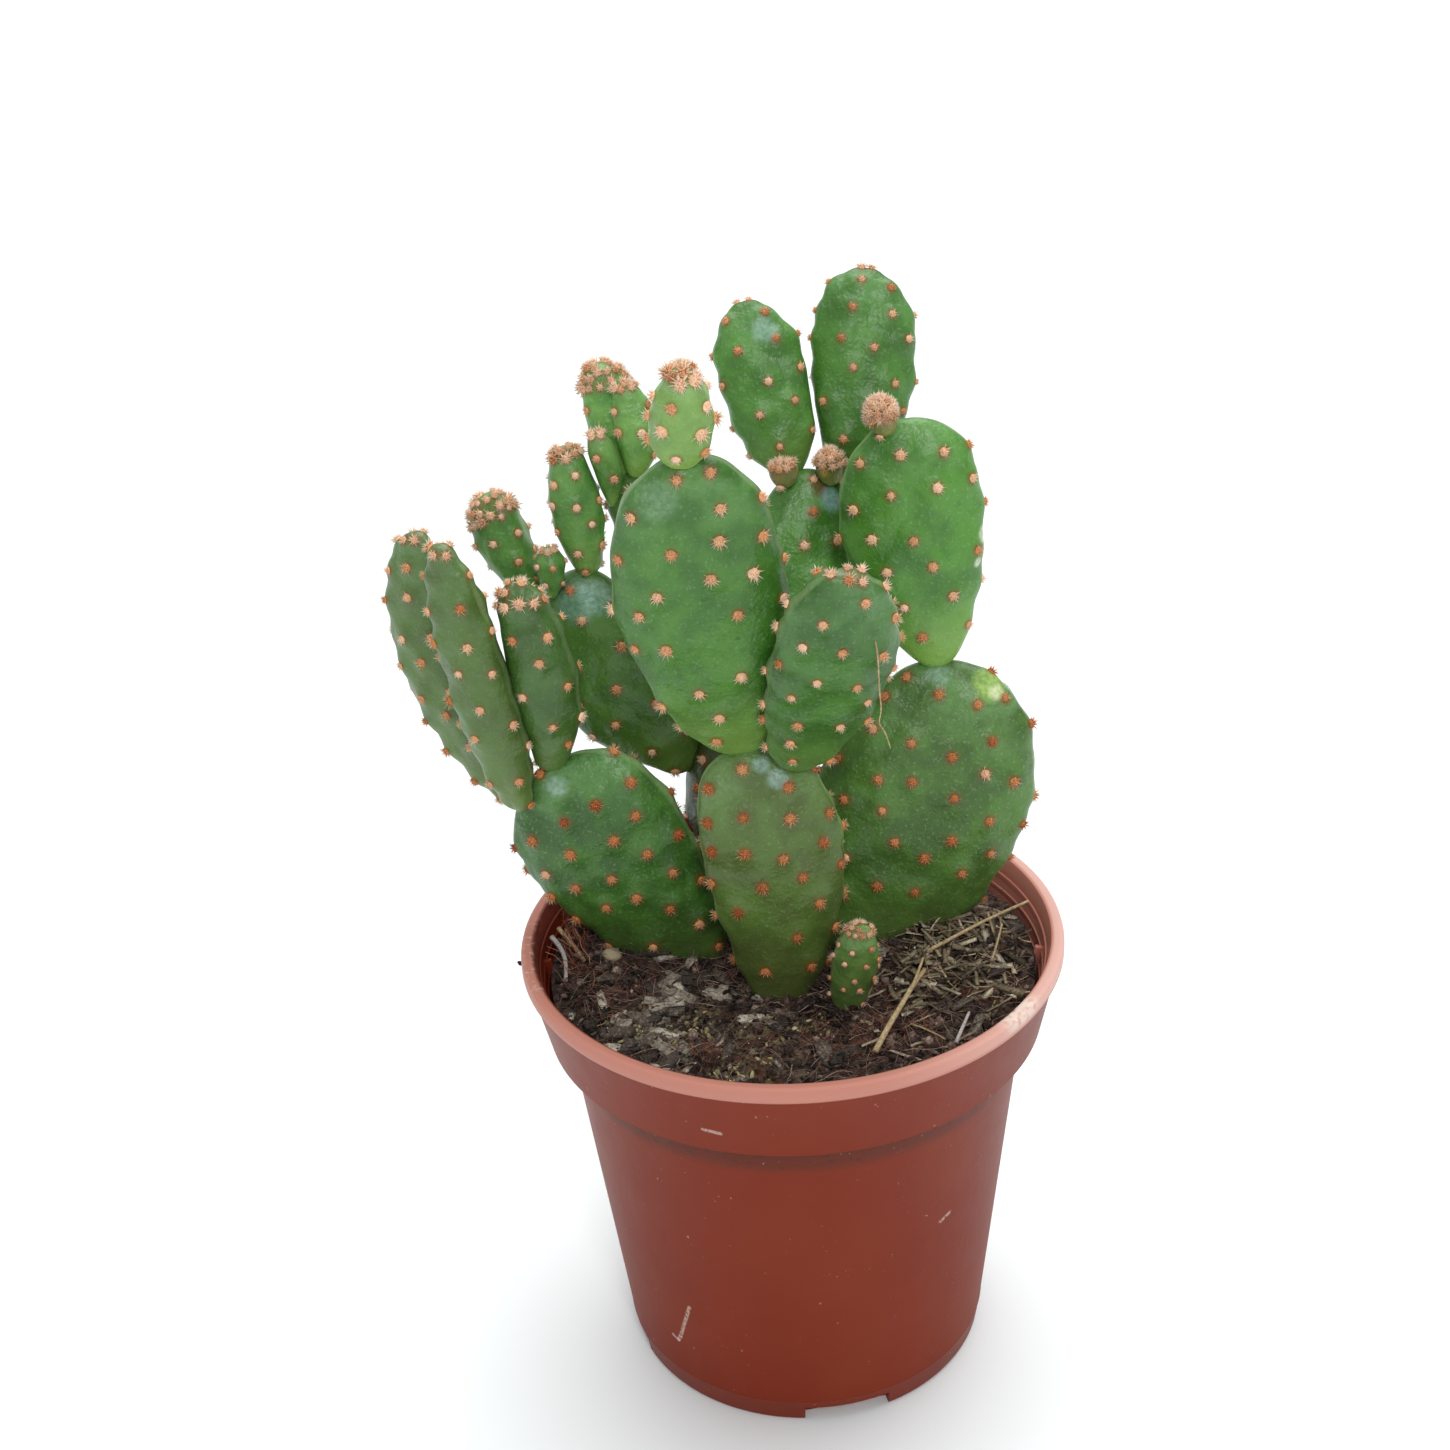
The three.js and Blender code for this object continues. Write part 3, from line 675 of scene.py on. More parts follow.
@dataclass
class Pad:
    """A flat, egg-shaped pad that leans from its foot, with tufts in staggered rings."""

    name: str
    stands: Union[Seat, tuple[float, float, float]]
    lean: float
    heading: float
    face: float
    length: float
    width: float
    depth: float
    taper: float
    sway: float
    age: Age
    start: np.ndarray = field(init=False)
    up: np.ndarray = field(init=False)
    out: np.ndarray = field(init=False)
    side: np.ndarray = field(init=False)

    def settle(self, earlier: dict[str, Pad]) -> None:
        """Place the pad on the soil or on the rim of an earlier one.

        Args:
            earlier: The pads that have grown so far, by name.
        """
        fuzz = self.age.value.fuzz
        self.length = self.length * MM - fuzz
        self.width = self.width * MM - 2 * fuzz
        self.depth = self.depth * MM - 2 * fuzz
        self.sway *= MM
        tilt, turn, look = (math.radians(a) for a in (self.lean, self.heading, self.face))
        flat = math.sin(tilt)
        self.up = np.array([flat * math.sin(turn), -flat * math.cos(turn), math.cos(tilt)])
        gaze = np.array([math.sin(look), -math.cos(look), 0.0])
        gaze = gaze - self.up * (gaze @ self.up)
        self.out = gaze / np.linalg.norm(gaze)
        self.side = np.cross(self.up, self.out)
        self.widest = float(self.swell(np.linspace(0, math.pi, 300)).max())
        if isinstance(self.stands, Seat):
            self.start = earlier[self.stands.on].rim(self.stands.at, self.stands.shift * MM)
        else:
            self.start = np.array(self.stands) * MM

    def swell(self, along: np.ndarray) -> np.ndarray:
        """Give the unscaled half width, 0 at the foot and at the tip."""
        return np.sin(along) ** END_BLUNTNESS * (1 - self.taper * np.cos(along))

    def skin(self, along: np.ndarray, around: np.ndarray) -> np.ndarray:
        """Give points on the skin.

        Args:
            along: Angles from 0 at the foot to pi at the tip.
            around: Angles round the pad, 0 at its right edge and a quarter turn at its view side.

        Returns:
            One row for each point, in metres.
        """
        along, around = np.broadcast_arrays(np.asarray(along, float), np.asarray(around, float))
        share = (1 - np.cos(along)) / 2
        bow = 4 * self.sway * share * (1 - share)
        half_width = self.width / 2 * self.swell(along) / self.widest
        half_depth = self.depth / 2 * np.sin(along) ** FACE_BLUNTNESS
        across = half_width * blunt(np.cos(around)) + bow
        off = half_depth * blunt(np.sin(around))
        return (
            self.start
            + self.up * (share * self.length)[..., None]
            + self.side * across[..., None]
            + self.out * off[..., None]
        )

    def normal(self, along: float, around: float) -> np.ndarray:
        """Give the outward direction at one point of the skin."""
        step = 0.01
        high = self.skin(along + step, around) - self.skin(along - step, around)
        wide = self.skin(along, around + step) - self.skin(along, around - step)
        out = np.cross(high, wide)
        return out / np.linalg.norm(out)

    def rim(self, degrees: float, shift: float) -> np.ndarray:
        """Give the place of a foot that grows from this pad's rim, a little inside the skin."""
        along = math.pi - math.radians(abs(degrees))
        edge = self.skin(along, math.pi if degrees < 0 else 0.0)
        inward = self.start + self.up * self.length / 2 - edge
        return edge + inward / np.linalg.norm(inward) * CHILD_INSET + self.out * shift

    def measure(self, points: np.ndarray, margin: float = 0.0) -> tuple[np.ndarray, ...]:
        """Give where points lie in the pad: share of its length, and shares of its half sizes."""
        offset = points - self.start
        share = (offset @ self.up + margin) / (self.length + 2 * margin)
        held = np.clip(share, 1e-4, 1 - 1e-4)
        along = np.arccos(1 - 2 * held)
        bow = 4 * self.sway * held * (1 - held)
        half_width = (self.width / 2 + margin) * self.swell(along) / self.widest
        half_depth = (self.depth / 2 + margin) * np.sin(along) ** FACE_BLUNTNESS
        return share, (offset @ self.side - bow) / half_width, (offset @ self.out) / half_depth

    def holds(self, points: np.ndarray, margin: float) -> np.ndarray:
        """Tell which points lie inside the pad grown by a margin."""
        share, across, off = self.measure(points, margin)
        power = 2 / SECTION_BLUNTNESS
        inside = np.abs(across) ** power + np.abs(off) ** power < 1
        return inside & (share > 0) & (share < 1)

    def areole(self, along: float, around: float) -> Areole:
        """Give one tuft's place."""
        held = min(max(along, END_MARGIN), math.pi - END_MARGIN)
        return Areole(self.skin(held, around), self.normal(held, around), held / math.pi)

    @property
    def look(self) -> Look:
        """Give how the pad differs from others of its age."""
        return LOOKS.get(self.name, Look())

    def capped(self, along: float) -> bool:
        """Tell whether an angle along the pad lies in the dense cap at its tip."""
        return (1 - math.cos(along)) / 2 > min(self.age.value.cap, self.look.cap)

    def areoles(self, draw: random.Random) -> list[Areole]:
        """Give the places of the tufts, ring by ring where there is room."""
        places: list[Areole] = []
        for found, gap in self._rings(draw):
            if all(np.linalg.norm(found.at - other.at) > ROOM_SHARE * gap for other in places):
                places.append(found)
        return places

    def _rings(self, draw: random.Random) -> Iterator[tuple[Areole, float]]:
        """Walk up the pad ring by ring and give places with the gap that they keep."""
        growth: Growth = self.age.value
        steps = np.arange(0.01, math.pi, 0.01)
        edge = self.skin(steps, 0.0)
        climbed = np.concatenate([[0.0], np.cumsum(np.linalg.norm(np.diff(edge, axis=0), axis=1))])
        wanted, ring = growth.gap * FIRST_RING, 0
        while wanted < climbed[-1]:
            along = float(np.interp(wanted, climbed, steps))
            closing = CAP_SHARE if self.capped(along) else 1
            gap = growth.gap * (1 - TIP_CLOSING * along / math.pi) * closing
            for place in self._ring(along, ring, gap, draw):
                yield place, gap
            wanted += gap * RING_SHARE
            ring += 1

    def _ring(self, along: float, ring: int, gap: float, draw: random.Random) -> Iterator[Areole]:
        """Give the places of the tufts in one ring."""
        angles = np.linspace(0, 2 * math.pi, 97)
        loop = self.skin(along, angles)
        lengths = np.concatenate([[0.0], np.cumsum(np.linalg.norm(np.diff(loop, axis=0), axis=1))])
        count = max(1, round(lengths[-1] / gap))
        for i in range(count):
            drift = draw.uniform(-DRIFT, DRIFT)
            share = ((i + 0.5 * (ring % 2) + drift) / count) % 1
            around = float(np.interp(share * lengths[-1], lengths, angles))
            yield self.areole(along + draw.uniform(-CLIMB, CLIMB), around)

    def build(self, areoles: Sequence[Areole], seed: int) -> bpy.types.Object:
        """Model the pad's body with a soft swelling under each areole.

        Args:
            areoles: The places of the tufts that show.
            seed: A number that moves the unevenness of the skin.

        Returns:
            The finished body.
        """
        growth: Growth = self.age.value
        bpy.ops.mesh.primitive_uv_sphere_add(
            segments=growth.segments, ring_count=growth.rings, radius=1, location=(0, 0, 0)
        )
        body = bpy.context.object
        corners = read_points(body)
        along = np.arccos(np.clip(-corners[:, 2], -1, 1))
        around = np.arctan2(corners[:, 1], corners[:, 0])
        points = self.skin(along, around)
        write_points(body, points)
        body.data.flip_normals()
        normals = read_normals(body)
        centres = np.array([areole.at for areole in areoles]).reshape(-1, 3)
        away = np.full(len(points), 1.0)
        if len(centres):
            away = np.linalg.norm(points[:, None] - centres[None], axis=2).min(axis=1)
        lift = self._lift(points, away, seed)
        write_points(body, points + normals * lift[:, None])
        share, across, off = self.measure(points)
        turn = np.abs(across) / np.maximum(np.hypot(across, off), 1e-6)
        add_numbers(body, "light", np.full(len(points), self.look.light))
        add_numbers(body, "olive", np.full(len(points), self.look.olive))
        add_numbers(body, "along", share)
        add_numbers(body, "rim", turn)
        add_numbers(body, "areole", np.exp(-((away / (STAIN_REACH * growth.size)) ** 2)))
        bpy.ops.object.shade_smooth()
        return body

    def raised(self, areoles: Sequence[Areole], seed: int) -> list[Areole]:
        """Give the same areoles on top of the swellings that build models under them."""
        centres = np.array([areole.at for areole in areoles]).reshape(-1, 3)
        lifts = self._lift(centres, np.zeros(len(centres)), seed)
        return [
            replace(areole, at=areole.at + areole.normal * lift)
            for areole, lift in zip(areoles, lifts)
        ]

    def _lift(self, points: np.ndarray, away: np.ndarray, seed: int) -> np.ndarray:
        """Give how far the skin rises at points, by their distance from the nearest areole."""
        growth: Growth = self.age.value
        mound = growth.relief * np.exp(-((away / (growth.gap * SWELLING_SHARE)) ** 2))
        return mound - growth.relief * VALLEY_SHARE + self._unevenness(points, seed)

    def _unevenness(self, points: np.ndarray, seed: int) -> np.ndarray:
        """Give the slow swellings of a living skin, in metres."""
        shift = Vector((seed * 3.7, seed * 1.9, 0))
        slow = [noise.noise(Vector(point) / (7 * MM) + shift) for point in points]
        quick = [noise.noise(Vector(point) / (2.6 * MM) + shift) for point in points]
        return (np.array(slow) * 0.22 + np.array(quick) * 0.08) * MM


def blunt(value: np.ndarray) -> np.ndarray:
    """Flatten a cosine or sine into a blunter section."""
    return np.sign(value) * np.abs(value) ** SECTION_BLUNTNESS


def read_points(shape: bpy.types.Object) -> np.ndarray:
    """Read a mesh's vertices, one row each."""
    flat = np.zeros(len(shape.data.vertices) * 3)
    shape.data.vertices.foreach_get("co", flat)
    return flat.reshape(-1, 3)


def write_points(shape: bpy.types.Object, points: np.ndarray) -> None:
    """Move a mesh's vertices."""
    shape.data.vertices.foreach_set("co", points.ravel())
    shape.data.update()


def read_normals(shape: bpy.types.Object) -> np.ndarray:
    """Read a mesh's vertex normals, one row each."""
    flat = np.zeros(len(shape.data.vertices) * 3)
    shape.data.vertex_normals.foreach_get("vector", flat)
    return flat.reshape(-1, 3)


def add_numbers(shape: bpy.types.Object, name: str, values: np.ndarray) -> None:
    """Keep one number for each vertex on the mesh, for a material to read."""
    layer = shape.data.attributes.new(name, "FLOAT", "POINT")
    layer.data.foreach_set("value", values.astype(float))


def pick_none() -> None:
    """Leave nothing selected."""
    bpy.ops.object.select_all(action="DESELECT")


def apply_modifier(shape: bpy.types.Object, kind: str, **settings: object) -> None:
    """Add a modifier to the active object and apply it."""
    modifier = shape.modifiers.new(kind.lower(), kind)
    for key, value in settings.items():
        setattr(modifier, key, value)
    pick_none()
    shape.select_set(True)
    bpy.context.view_layer.objects.active = shape
    bpy.ops.object.modifier_apply(modifier=modifier.name)


def place_in_mesh(shape: bpy.types.Object) -> None:
    """Put an object's place, turn and scale into its mesh."""
    pick_none()
    shape.select_set(True)
    bpy.context.view_layer.objects.active = shape
    bpy.ops.object.transform_apply(location=True, rotation=True, scale=True)


@dataclass
class Stamp:
    """A small modelled shape that is copied many times into one mesh."""

    points: np.ndarray
    faces: list[tuple[int, ...]]
    heights: np.ndarray

    @classmethod
    def taken_from(cls, shape: bpy.types.Object, reach: float) -> Stamp:
        """Take the shape out of the scene.

        Args:
            shape: A modelled object, which is removed.
            reach: The distance from the origin where its height counts as 1.

        Returns:
            The stamp.
        """
        place_in_mesh(shape)
        points = read_points(shape)
        faces = [tuple(polygon.vertices) for polygon in shape.data.polygons]
        bpy.data.objects.remove(shape)
        heights = (np.linalg.norm(points, axis=1) * 0.6 + points[:, 2] * 0.4) / reach
        return cls(points, faces, heights)


@dataclass
class Print:
    """Where one copy of a stamp goes: its frame, its sizes and the draw of its shade."""

    stamp: Stamp
    at: np.ndarray
    frame: np.ndarray
    scale: Sequence[float] = (1.0, 1.0, 1.0)
    shade: float = 0.5


def print_all(name: str, prints: Sequence[Print]) -> bpy.types.Object:
    """Copy stamps into one mesh.

    Args:
        name: The new object's name.
        prints: Where each copy goes.

    Returns:
        The new object, with a UV map named grain: the shade and the height.
    """
    points, faces, shades, heights = [], [], [], []
    first = 0
    for item in prints:
        local = item.stamp.points * np.array(item.scale)
        points.append(item.at + local @ item.frame)
        faces += [tuple(first + corner for corner in face) for face in item.stamp.faces]
        shades.append(np.full(len(local), item.shade))
        heights.append(item.stamp.heights)
        first += len(local)
    mesh = bpy.data.meshes.new(name)
    mesh.from_pydata(np.concatenate(points).tolist(), [], faces)
    grain = np.stack([np.concatenate(shades), np.concatenate(heights)], axis=1)
    corners = np.zeros(len(mesh.loops), int)
    mesh.loops.foreach_get("vertex_index", corners)
    mesh.uv_layers.new(name="grain").data.foreach_set("uv", grain[corners].ravel())
    mesh.polygons.foreach_set("use_smooth", np.ones(len(mesh.polygons), bool))
    made = bpy.data.objects.new(name, mesh)
    bpy.context.scene.collection.objects.link(made)
    return made


def frame_of(normal: np.ndarray, twist: float) -> np.ndarray:
    """Give rows of a frame whose third row is the normal, twisted about it."""
    other = UP if abs(normal[2]) < 0.9 else np.array([1.0, 0.0, 0.0])
    first = np.cross(other, normal)
    first /= np.linalg.norm(first)
    second = np.cross(normal, first)
    turned = first * math.cos(twist) + second * math.sin(twist)
    return np.stack([turned, np.cross(normal, turned), normal])


def dress(
    shape: bpy.types.Object,
    name: str,
    material: bpy.types.Material,
    slot: str,
    *replaced: str,
) -> bpy.types.Object:
    """Name a finished piece, give it its material and put it on the frame.

    Args:
        shape: The piece.
        name: Its name.
        material: Its material.
        slot: The record's material slot; not used.
        replaced: The CAD nodes that it stands for.

    Returns:
        The piece.
    """
    shape.name = name
    shape.data.name = name
    shape.data.materials.clear()
    shape.data.materials.append(material)
    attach(shape, BODY)
    if replaced:
        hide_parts(*replaced)
    LOG.info("%s: %d faces", name, len(shape.data.polygons))
    return shape


@dataclass
class TuftMaker:
    """Makes the tufts: a low cushion set with short bristles, and a looser spray around it."""

    core_radius: float = 0.5 * MM
    core_height: float = 0.36 * MM
    needle_radius: float = 0.06 * MM
    needle_reach: float = 0.7 * MM
    cushion_needles: int = 11
    spray_needles: int = 16
    kinds: int = 6

    def cushions(self, draw: random.Random) -> list[Stamp]:
        """Model the kinds of cushion, each at the origin with its bristles towards +Z."""
        return [self._tuft(draw, self.cushion_needles, True) for _ in range(self.kinds)]

    def sprays(self, draw: random.Random) -> list[Stamp]:
        """Model the kinds of spray, which have bristles alone."""
        return [self._tuft(draw, self.spray_needles, False) for _ in range(self.kinds)]

    def _tuft(self, draw: random.Random, needles: int, cored: bool) -> Stamp:
        """Model one tuft."""
        pick_none()
        parts = []
        if cored:
            bpy.ops.mesh.primitive_ico_sphere_add(subdivisions=1, radius=1, location=(0, 0, 0))
            core = bpy.context.object
            core.scale = (self.core_radius, self.core_radius, self.core_height)
            parts.append(core)
        for i in range(needles):
            parts.append(self._needle(draw, i, needles, 1.1 if cored else 1.3))
        for part in parts:
            part.select_set(True)
        bpy.context.view_layer.objects.active = parts[0]
        bpy.ops.object.join()
        return Stamp.taken_from(parts[0], self.needle_reach)

    def _needle(self, draw: random.Random, number: int, needles: int, widest: float) -> bpy.types.Object:
        """Model one bristle that leans out more the later it comes."""
        turn = 2.4 * number + draw.uniform(-0.4, 0.4)
        lean = math.sqrt((number + 0.5) / needles) * widest
        reach = self.needle_reach * draw.uniform(0.85, 1.25)
        flat = math.sin(lean)
        way = Vector((flat * math.cos(turn), flat * math.sin(turn), math.cos(lean)))
        bpy.ops.mesh.primitive_cone_add(
            vertices=3,
            radius1=self.needle_radius,
            radius2=0,
            depth=reach * 0.85,
            location=way * reach * 0.575,
            rotation=way.to_track_quat("Z", "Y").to_euler(),
        )
        return bpy.context.object


def pad_list() -> list[Pad]:
    """List the pads in the order they grow, with their sizes in millimetres."""
    first, old, grown = Age.FIRST, Age.OLD, Age.GROWN
    young, shoot, bud = Age.YOUNG, Age.SHOOT, Age.BUD
    return [
        Pad("low_left_pad", (-7.5, 3.5, 40.5), 31, -94, -6, 30.5, 17.5, 7, 0.4, -0.8, first),
        Pad("low_front_pad", (-2, -4, 39.5), 4, -123, 4, 31.5, 14, 7, 0.4, 1.8, first),
        Pad("low_right_pad", (4.5, 3.5, 41.5), 26, 104, -6, 35.5, 21.5, 8, 0.1, 1, first),
        Pad("soil_shoot", (4.5, -6.5, 41.5), 14, 41, 10, 12.5, 4.5, 4, 0.2, 0.2, shoot),
        Pad("low_back_pad", (0.5, 5.5, 40.5), 15, -126, -25, 27, 15, 6.5, 0.25, 0, first),
        Pad("front_pad", Seat("low_front_pad", 1, -0.6), 15, -27, -4, 34.5, 16, 7, 0.15, -1.2, old),
        Pad("front_right_pad", Seat("low_front_pad", 26, 0.8), 26, 27, 8, 27, 11.5, 6.5, 0.2, 0.8, grown),
        Pad("crown_pad", Seat("front_pad", -3), 18, 12, 0, 10, 5.5, 5, -0.1, 0, young),
        Pad("right_pad", Seat("low_right_pad", -15), 7, -108, 4, 26, 14, 6.5, 0.3, -0.6, old),
        Pad("right_bud", Seat("right_pad", -12, 0.5), 15, -51, 0, 4.5, 3.8, 3.8, 0, 0, bud),
        Pad("left_outer_pad", Seat("low_left_pad", -27, 1.6), 10, -65, -20, 30.5, 6.5, 5, 0, 0, grown),
        Pad("left_inner_pad", Seat("low_left_pad", -34, -2.2), 17, -108, -30, 30.5, 9.5, 5, 0.05, -3, grown),
        Pad("left_small_pad", Seat("low_left_pad", 0, 0.5), 7, -45, -15, 21.5, 7, 5.5, 0.05, 0.8, grown),
        Pad("shiny_pad", Seat("low_back_pad", -38), 30, -105, -5, 24.5, 12.5, 6.5, 0.2, -2.4, old),
        Pad("left_shoot", Seat("shiny_pad", -26), 25, -109, -10, 13, 5.5, 5, 0.35, -0.8, young),
        Pad("left_bud", Seat("shiny_pad", -14, 1.5), 5, 0, 0, 5.5, 3, 3.5, 0.3, 0, shoot),
        Pad("slim_shoot", Seat("shiny_pad", 17), 8, -126, 10, 13.5, 5.2, 4.6, 0.1, 0, young),
        Pad("back_pad", Seat("low_back_pad", 47), 20, 162, 6, 30.5, 12.5, 6.5, 0.1, 0, old),
        Pad("tall_left_pad", Seat("back_pad", -12), 24, -146, 5, 18, 9, 5.5, 0.15, 0, grown),
        Pad("tall_right_pad", Seat("back_pad", 39), 21, 160, 0, 24, 10.5, 5.5, 0.35, 0.6, grown),
        Pad("back_left_bud", Seat("back_pad", -21, 1.5), 8, -53, 0, 3, 3.6, 3.5, 0.1, 0, bud),
        Pad("back_right_bud", Seat("back_pad", 16, 1.5), 4, 0, 0, 4, 3.6, 3.5, 0.1, 0, bud),
        Pad("hidden_pad", Seat("low_back_pad", 6), 27, -127, 0, 29.5, 12.5, 6.5, -0.2, 2.5, old),
        Pad("back_shoot", Seat("hidden_pad", -10, -0.5), 12, -155, 0, 12.5, 5.5, 4.5, 0.25, 0.8, young),
        Pad("middle_shoot", Seat("hidden_pad", 13, 0.5), 6, -133, 5, 10, 4.5, 4, 0.1, 0.8, young),
        Pad("small_shoot", Seat("hidden_pad", -29, 1), 9, -64, 0, 8, 3, 3, 0.3, 0.4, young),
    ]


@dataclass
class Plant:
    """All the pads, their bristles and the marks on them."""

    seed: int = 5
    sunk: float = 0.1 * MM
    pads: dict[str, Pad] = field(default_factory=dict)

    def grow(self) -> None:
        """Place every pad."""
        for pad in pad_list():
            pad.settle(self.pads)
            self.pads[pad.name] = pad

    def build(self, soil: SoilBed) -> None:
        """Model and dress every pad and its tufts.

        Args:
            soil: The soil, which hides the tufts below it.
        """
        draw = random.Random(self.seed)
        maker = TuftMaker()
        cushions, sprays = maker.cushions(draw), maker.sprays(draw)
        skins = {age: age.value.skin.paint() for age in Age}
        bristles = BristleFinish().paint()
        for number, pad in enumerate(self.pads.values()):
            places = [a for a in pad.areoles(draw) if self._shows(a, pad, soil)]
            body = pad.build(places, number)
            places = pad.raised(places, number)
            dress(body, f"{pad.name}_skin", skins[pad.age], pad.age.value.slot, pad.name)
            tufts = print_all(
                f"{pad.name}_bristles", list(self._tufts(pad, places, cushions, sprays, draw))
            )
            dress(tufts, f"{pad.name}_bristles", bristles, "bristles", pad.name)

    def _shows(self, areole: Areole, pad: Pad, soil: SoilBed) -> bool:
        """Tell whether an areole stands clear of the soil and of the other pads."""
        crown = (areole.at + areole.normal * 0.4 * MM)[None]
        if areole.at[2] < soil.height(areole.at[0], areole.at[1]) + 0.4 * MM:
            return False
        return not any(other.holds(crown, 0.35 * MM)[0] for other in self.pads.values() if other is not pad)

    def _tufts(
        self,
        pad: Pad,
        places: Sequence[Areole],
        cushions: Sequence[Stamp],
        sprays: Sequence[Stamp],
        draw: random.Random,
    ) -> Iterator[Print]:
        """Give a cushion and a spray for each tuft of one pad, paler and longer in the cap."""
        growth: Growth = pad.age.value
        bulk = growth.size * pad.look.tufts
        for areole in places:
            capped = pad.capped(areole.share * math.pi)
            size = bulk * (draw.uniform(0.65, 1.15) if capped else draw.uniform(0.85, 1.18))
            shade = min(1.0, max(0.0, draw.gauss(0.86 if capped else growth.paleness, 0.17)))
            seat = areole.at - areole.normal * self.sunk * size
            frame = frame_of(areole.normal, draw.uniform(0, 2 * math.pi))
            yield Print(draw.choice(cushions), seat, frame, (size, size, size), shade)
            for _ in range(2 if capped else 1):
                out = areole.normal - UP * draw.uniform(0.0, 0.3)
                hung = frame_of(out / np.linalg.norm(out), draw.uniform(0, 2 * math.pi))
                reach = size * draw.uniform(0.95, 1.25) * (1.2 if capped else 1)
                yield Print(draw.choice(sprays), seat, hung, (reach, reach, reach), shade)


@dataclass(frozen=True)
class Mound:
    """A rise or dip in the soil."""

    x: float
    y: float
    reach: float
    height: float


@dataclass
class SoilBed:
    """The soil in the pot, with its uneven top, crumbs, bark, straw and stone."""

    level: float = 44 * MM
    top_radius: float = 24.72 * MM
    columns: int = 190
    mounds: tuple[Mound, ...] = (
        Mound(15 * MM, 2 * MM, 8 * MM, 2.6 * MM),
        Mound(-19 * MM, 5 * MM, 8 * MM, 1.6 * MM),
        Mound(3 * MM, -12 * MM, 9 * MM, -0.5 * MM),
    )
    wall: tuple[tuple[float, float], ...] = (
        (23.9, 40.35),
        (22.1, 38.95),
        (17.5, 4.65),
        (16.5, 3.65),
        (12.65, 3.65),
        (11.65, 1.65),
    )

    def height(self, x: float, y: float) -> float:
        """Give the height of the soil without its crumbs, in metres."""
        rise = sum(
            m.height * math.exp(-(math.hypot(x - m.x, y - m.y) / m.reach) ** 2) for m in self.mounds
        )
        return self.level + rise

    def top(self, x: float, y: float) -> float:
        """Give the height of the soil's crumbly top, in metres."""
        spot = Vector((x, y, 0))
        lumps = noise.fractal(spot / (2.4 * MM), 0.9, 2.1, 5)
        swell = noise.noise(spot / (6 * MM))
        return self.height(x, y) + (lumps * 0.5 + swell * 0.7) * MM

    def build(self) -> None:
        """Model the bed: a crumbly disc whose rim is drawn down along the pot's wall."""
        pick_none()
        bpy.ops.mesh.primitive_grid_add(
            x_subdivisions=self.columns, y_subdivisions=self.columns, size=2, location=(0, 0, 0)
        )
        bed = bpy.context.object
        square = read_points(bed)
        x = square[:, 0] * np.sqrt(1 - square[:, 1] ** 2 / 2) * self.top_radius
        y = square[:, 1] * np.sqrt(1 - square[:, 0] ** 2 / 2) * self.top_radius
        z = [self.top(a, b) for a, b in zip(x, y)]
        write_points(bed, np.stack([x, y, z], axis=1))
        bpy.ops.object.mode_set(mode="EDIT")
        bpy.ops.mesh.select_mode(type="EDGE")
        bpy.ops.mesh.select_all(action="DESELECT")
        bpy.ops.mesh.select_non_manifold()
        radius = self.top_radius
        for wall_radius, height in self.wall:
            share = wall_radius * MM / radius
            bpy.ops.mesh.extrude_edges_move()
            bpy.ops.transform.translate(value=(0, 0, -1 * MM))
            bpy.ops.transform.resize(value=(share, share, 0), center_override=(0, 0, height * MM))
            radius = wall_radius * MM
        bpy.ops.mesh.edge_face_add()
        bpy.ops.mesh.select_all(action="SELECT")
        bpy.ops.mesh.normals_make_consistent(inside=False)
        bpy.ops.object.mode_set(mode="OBJECT")
        dress(bed, "soil_bed", Peat().paint(), "soil", "soil")


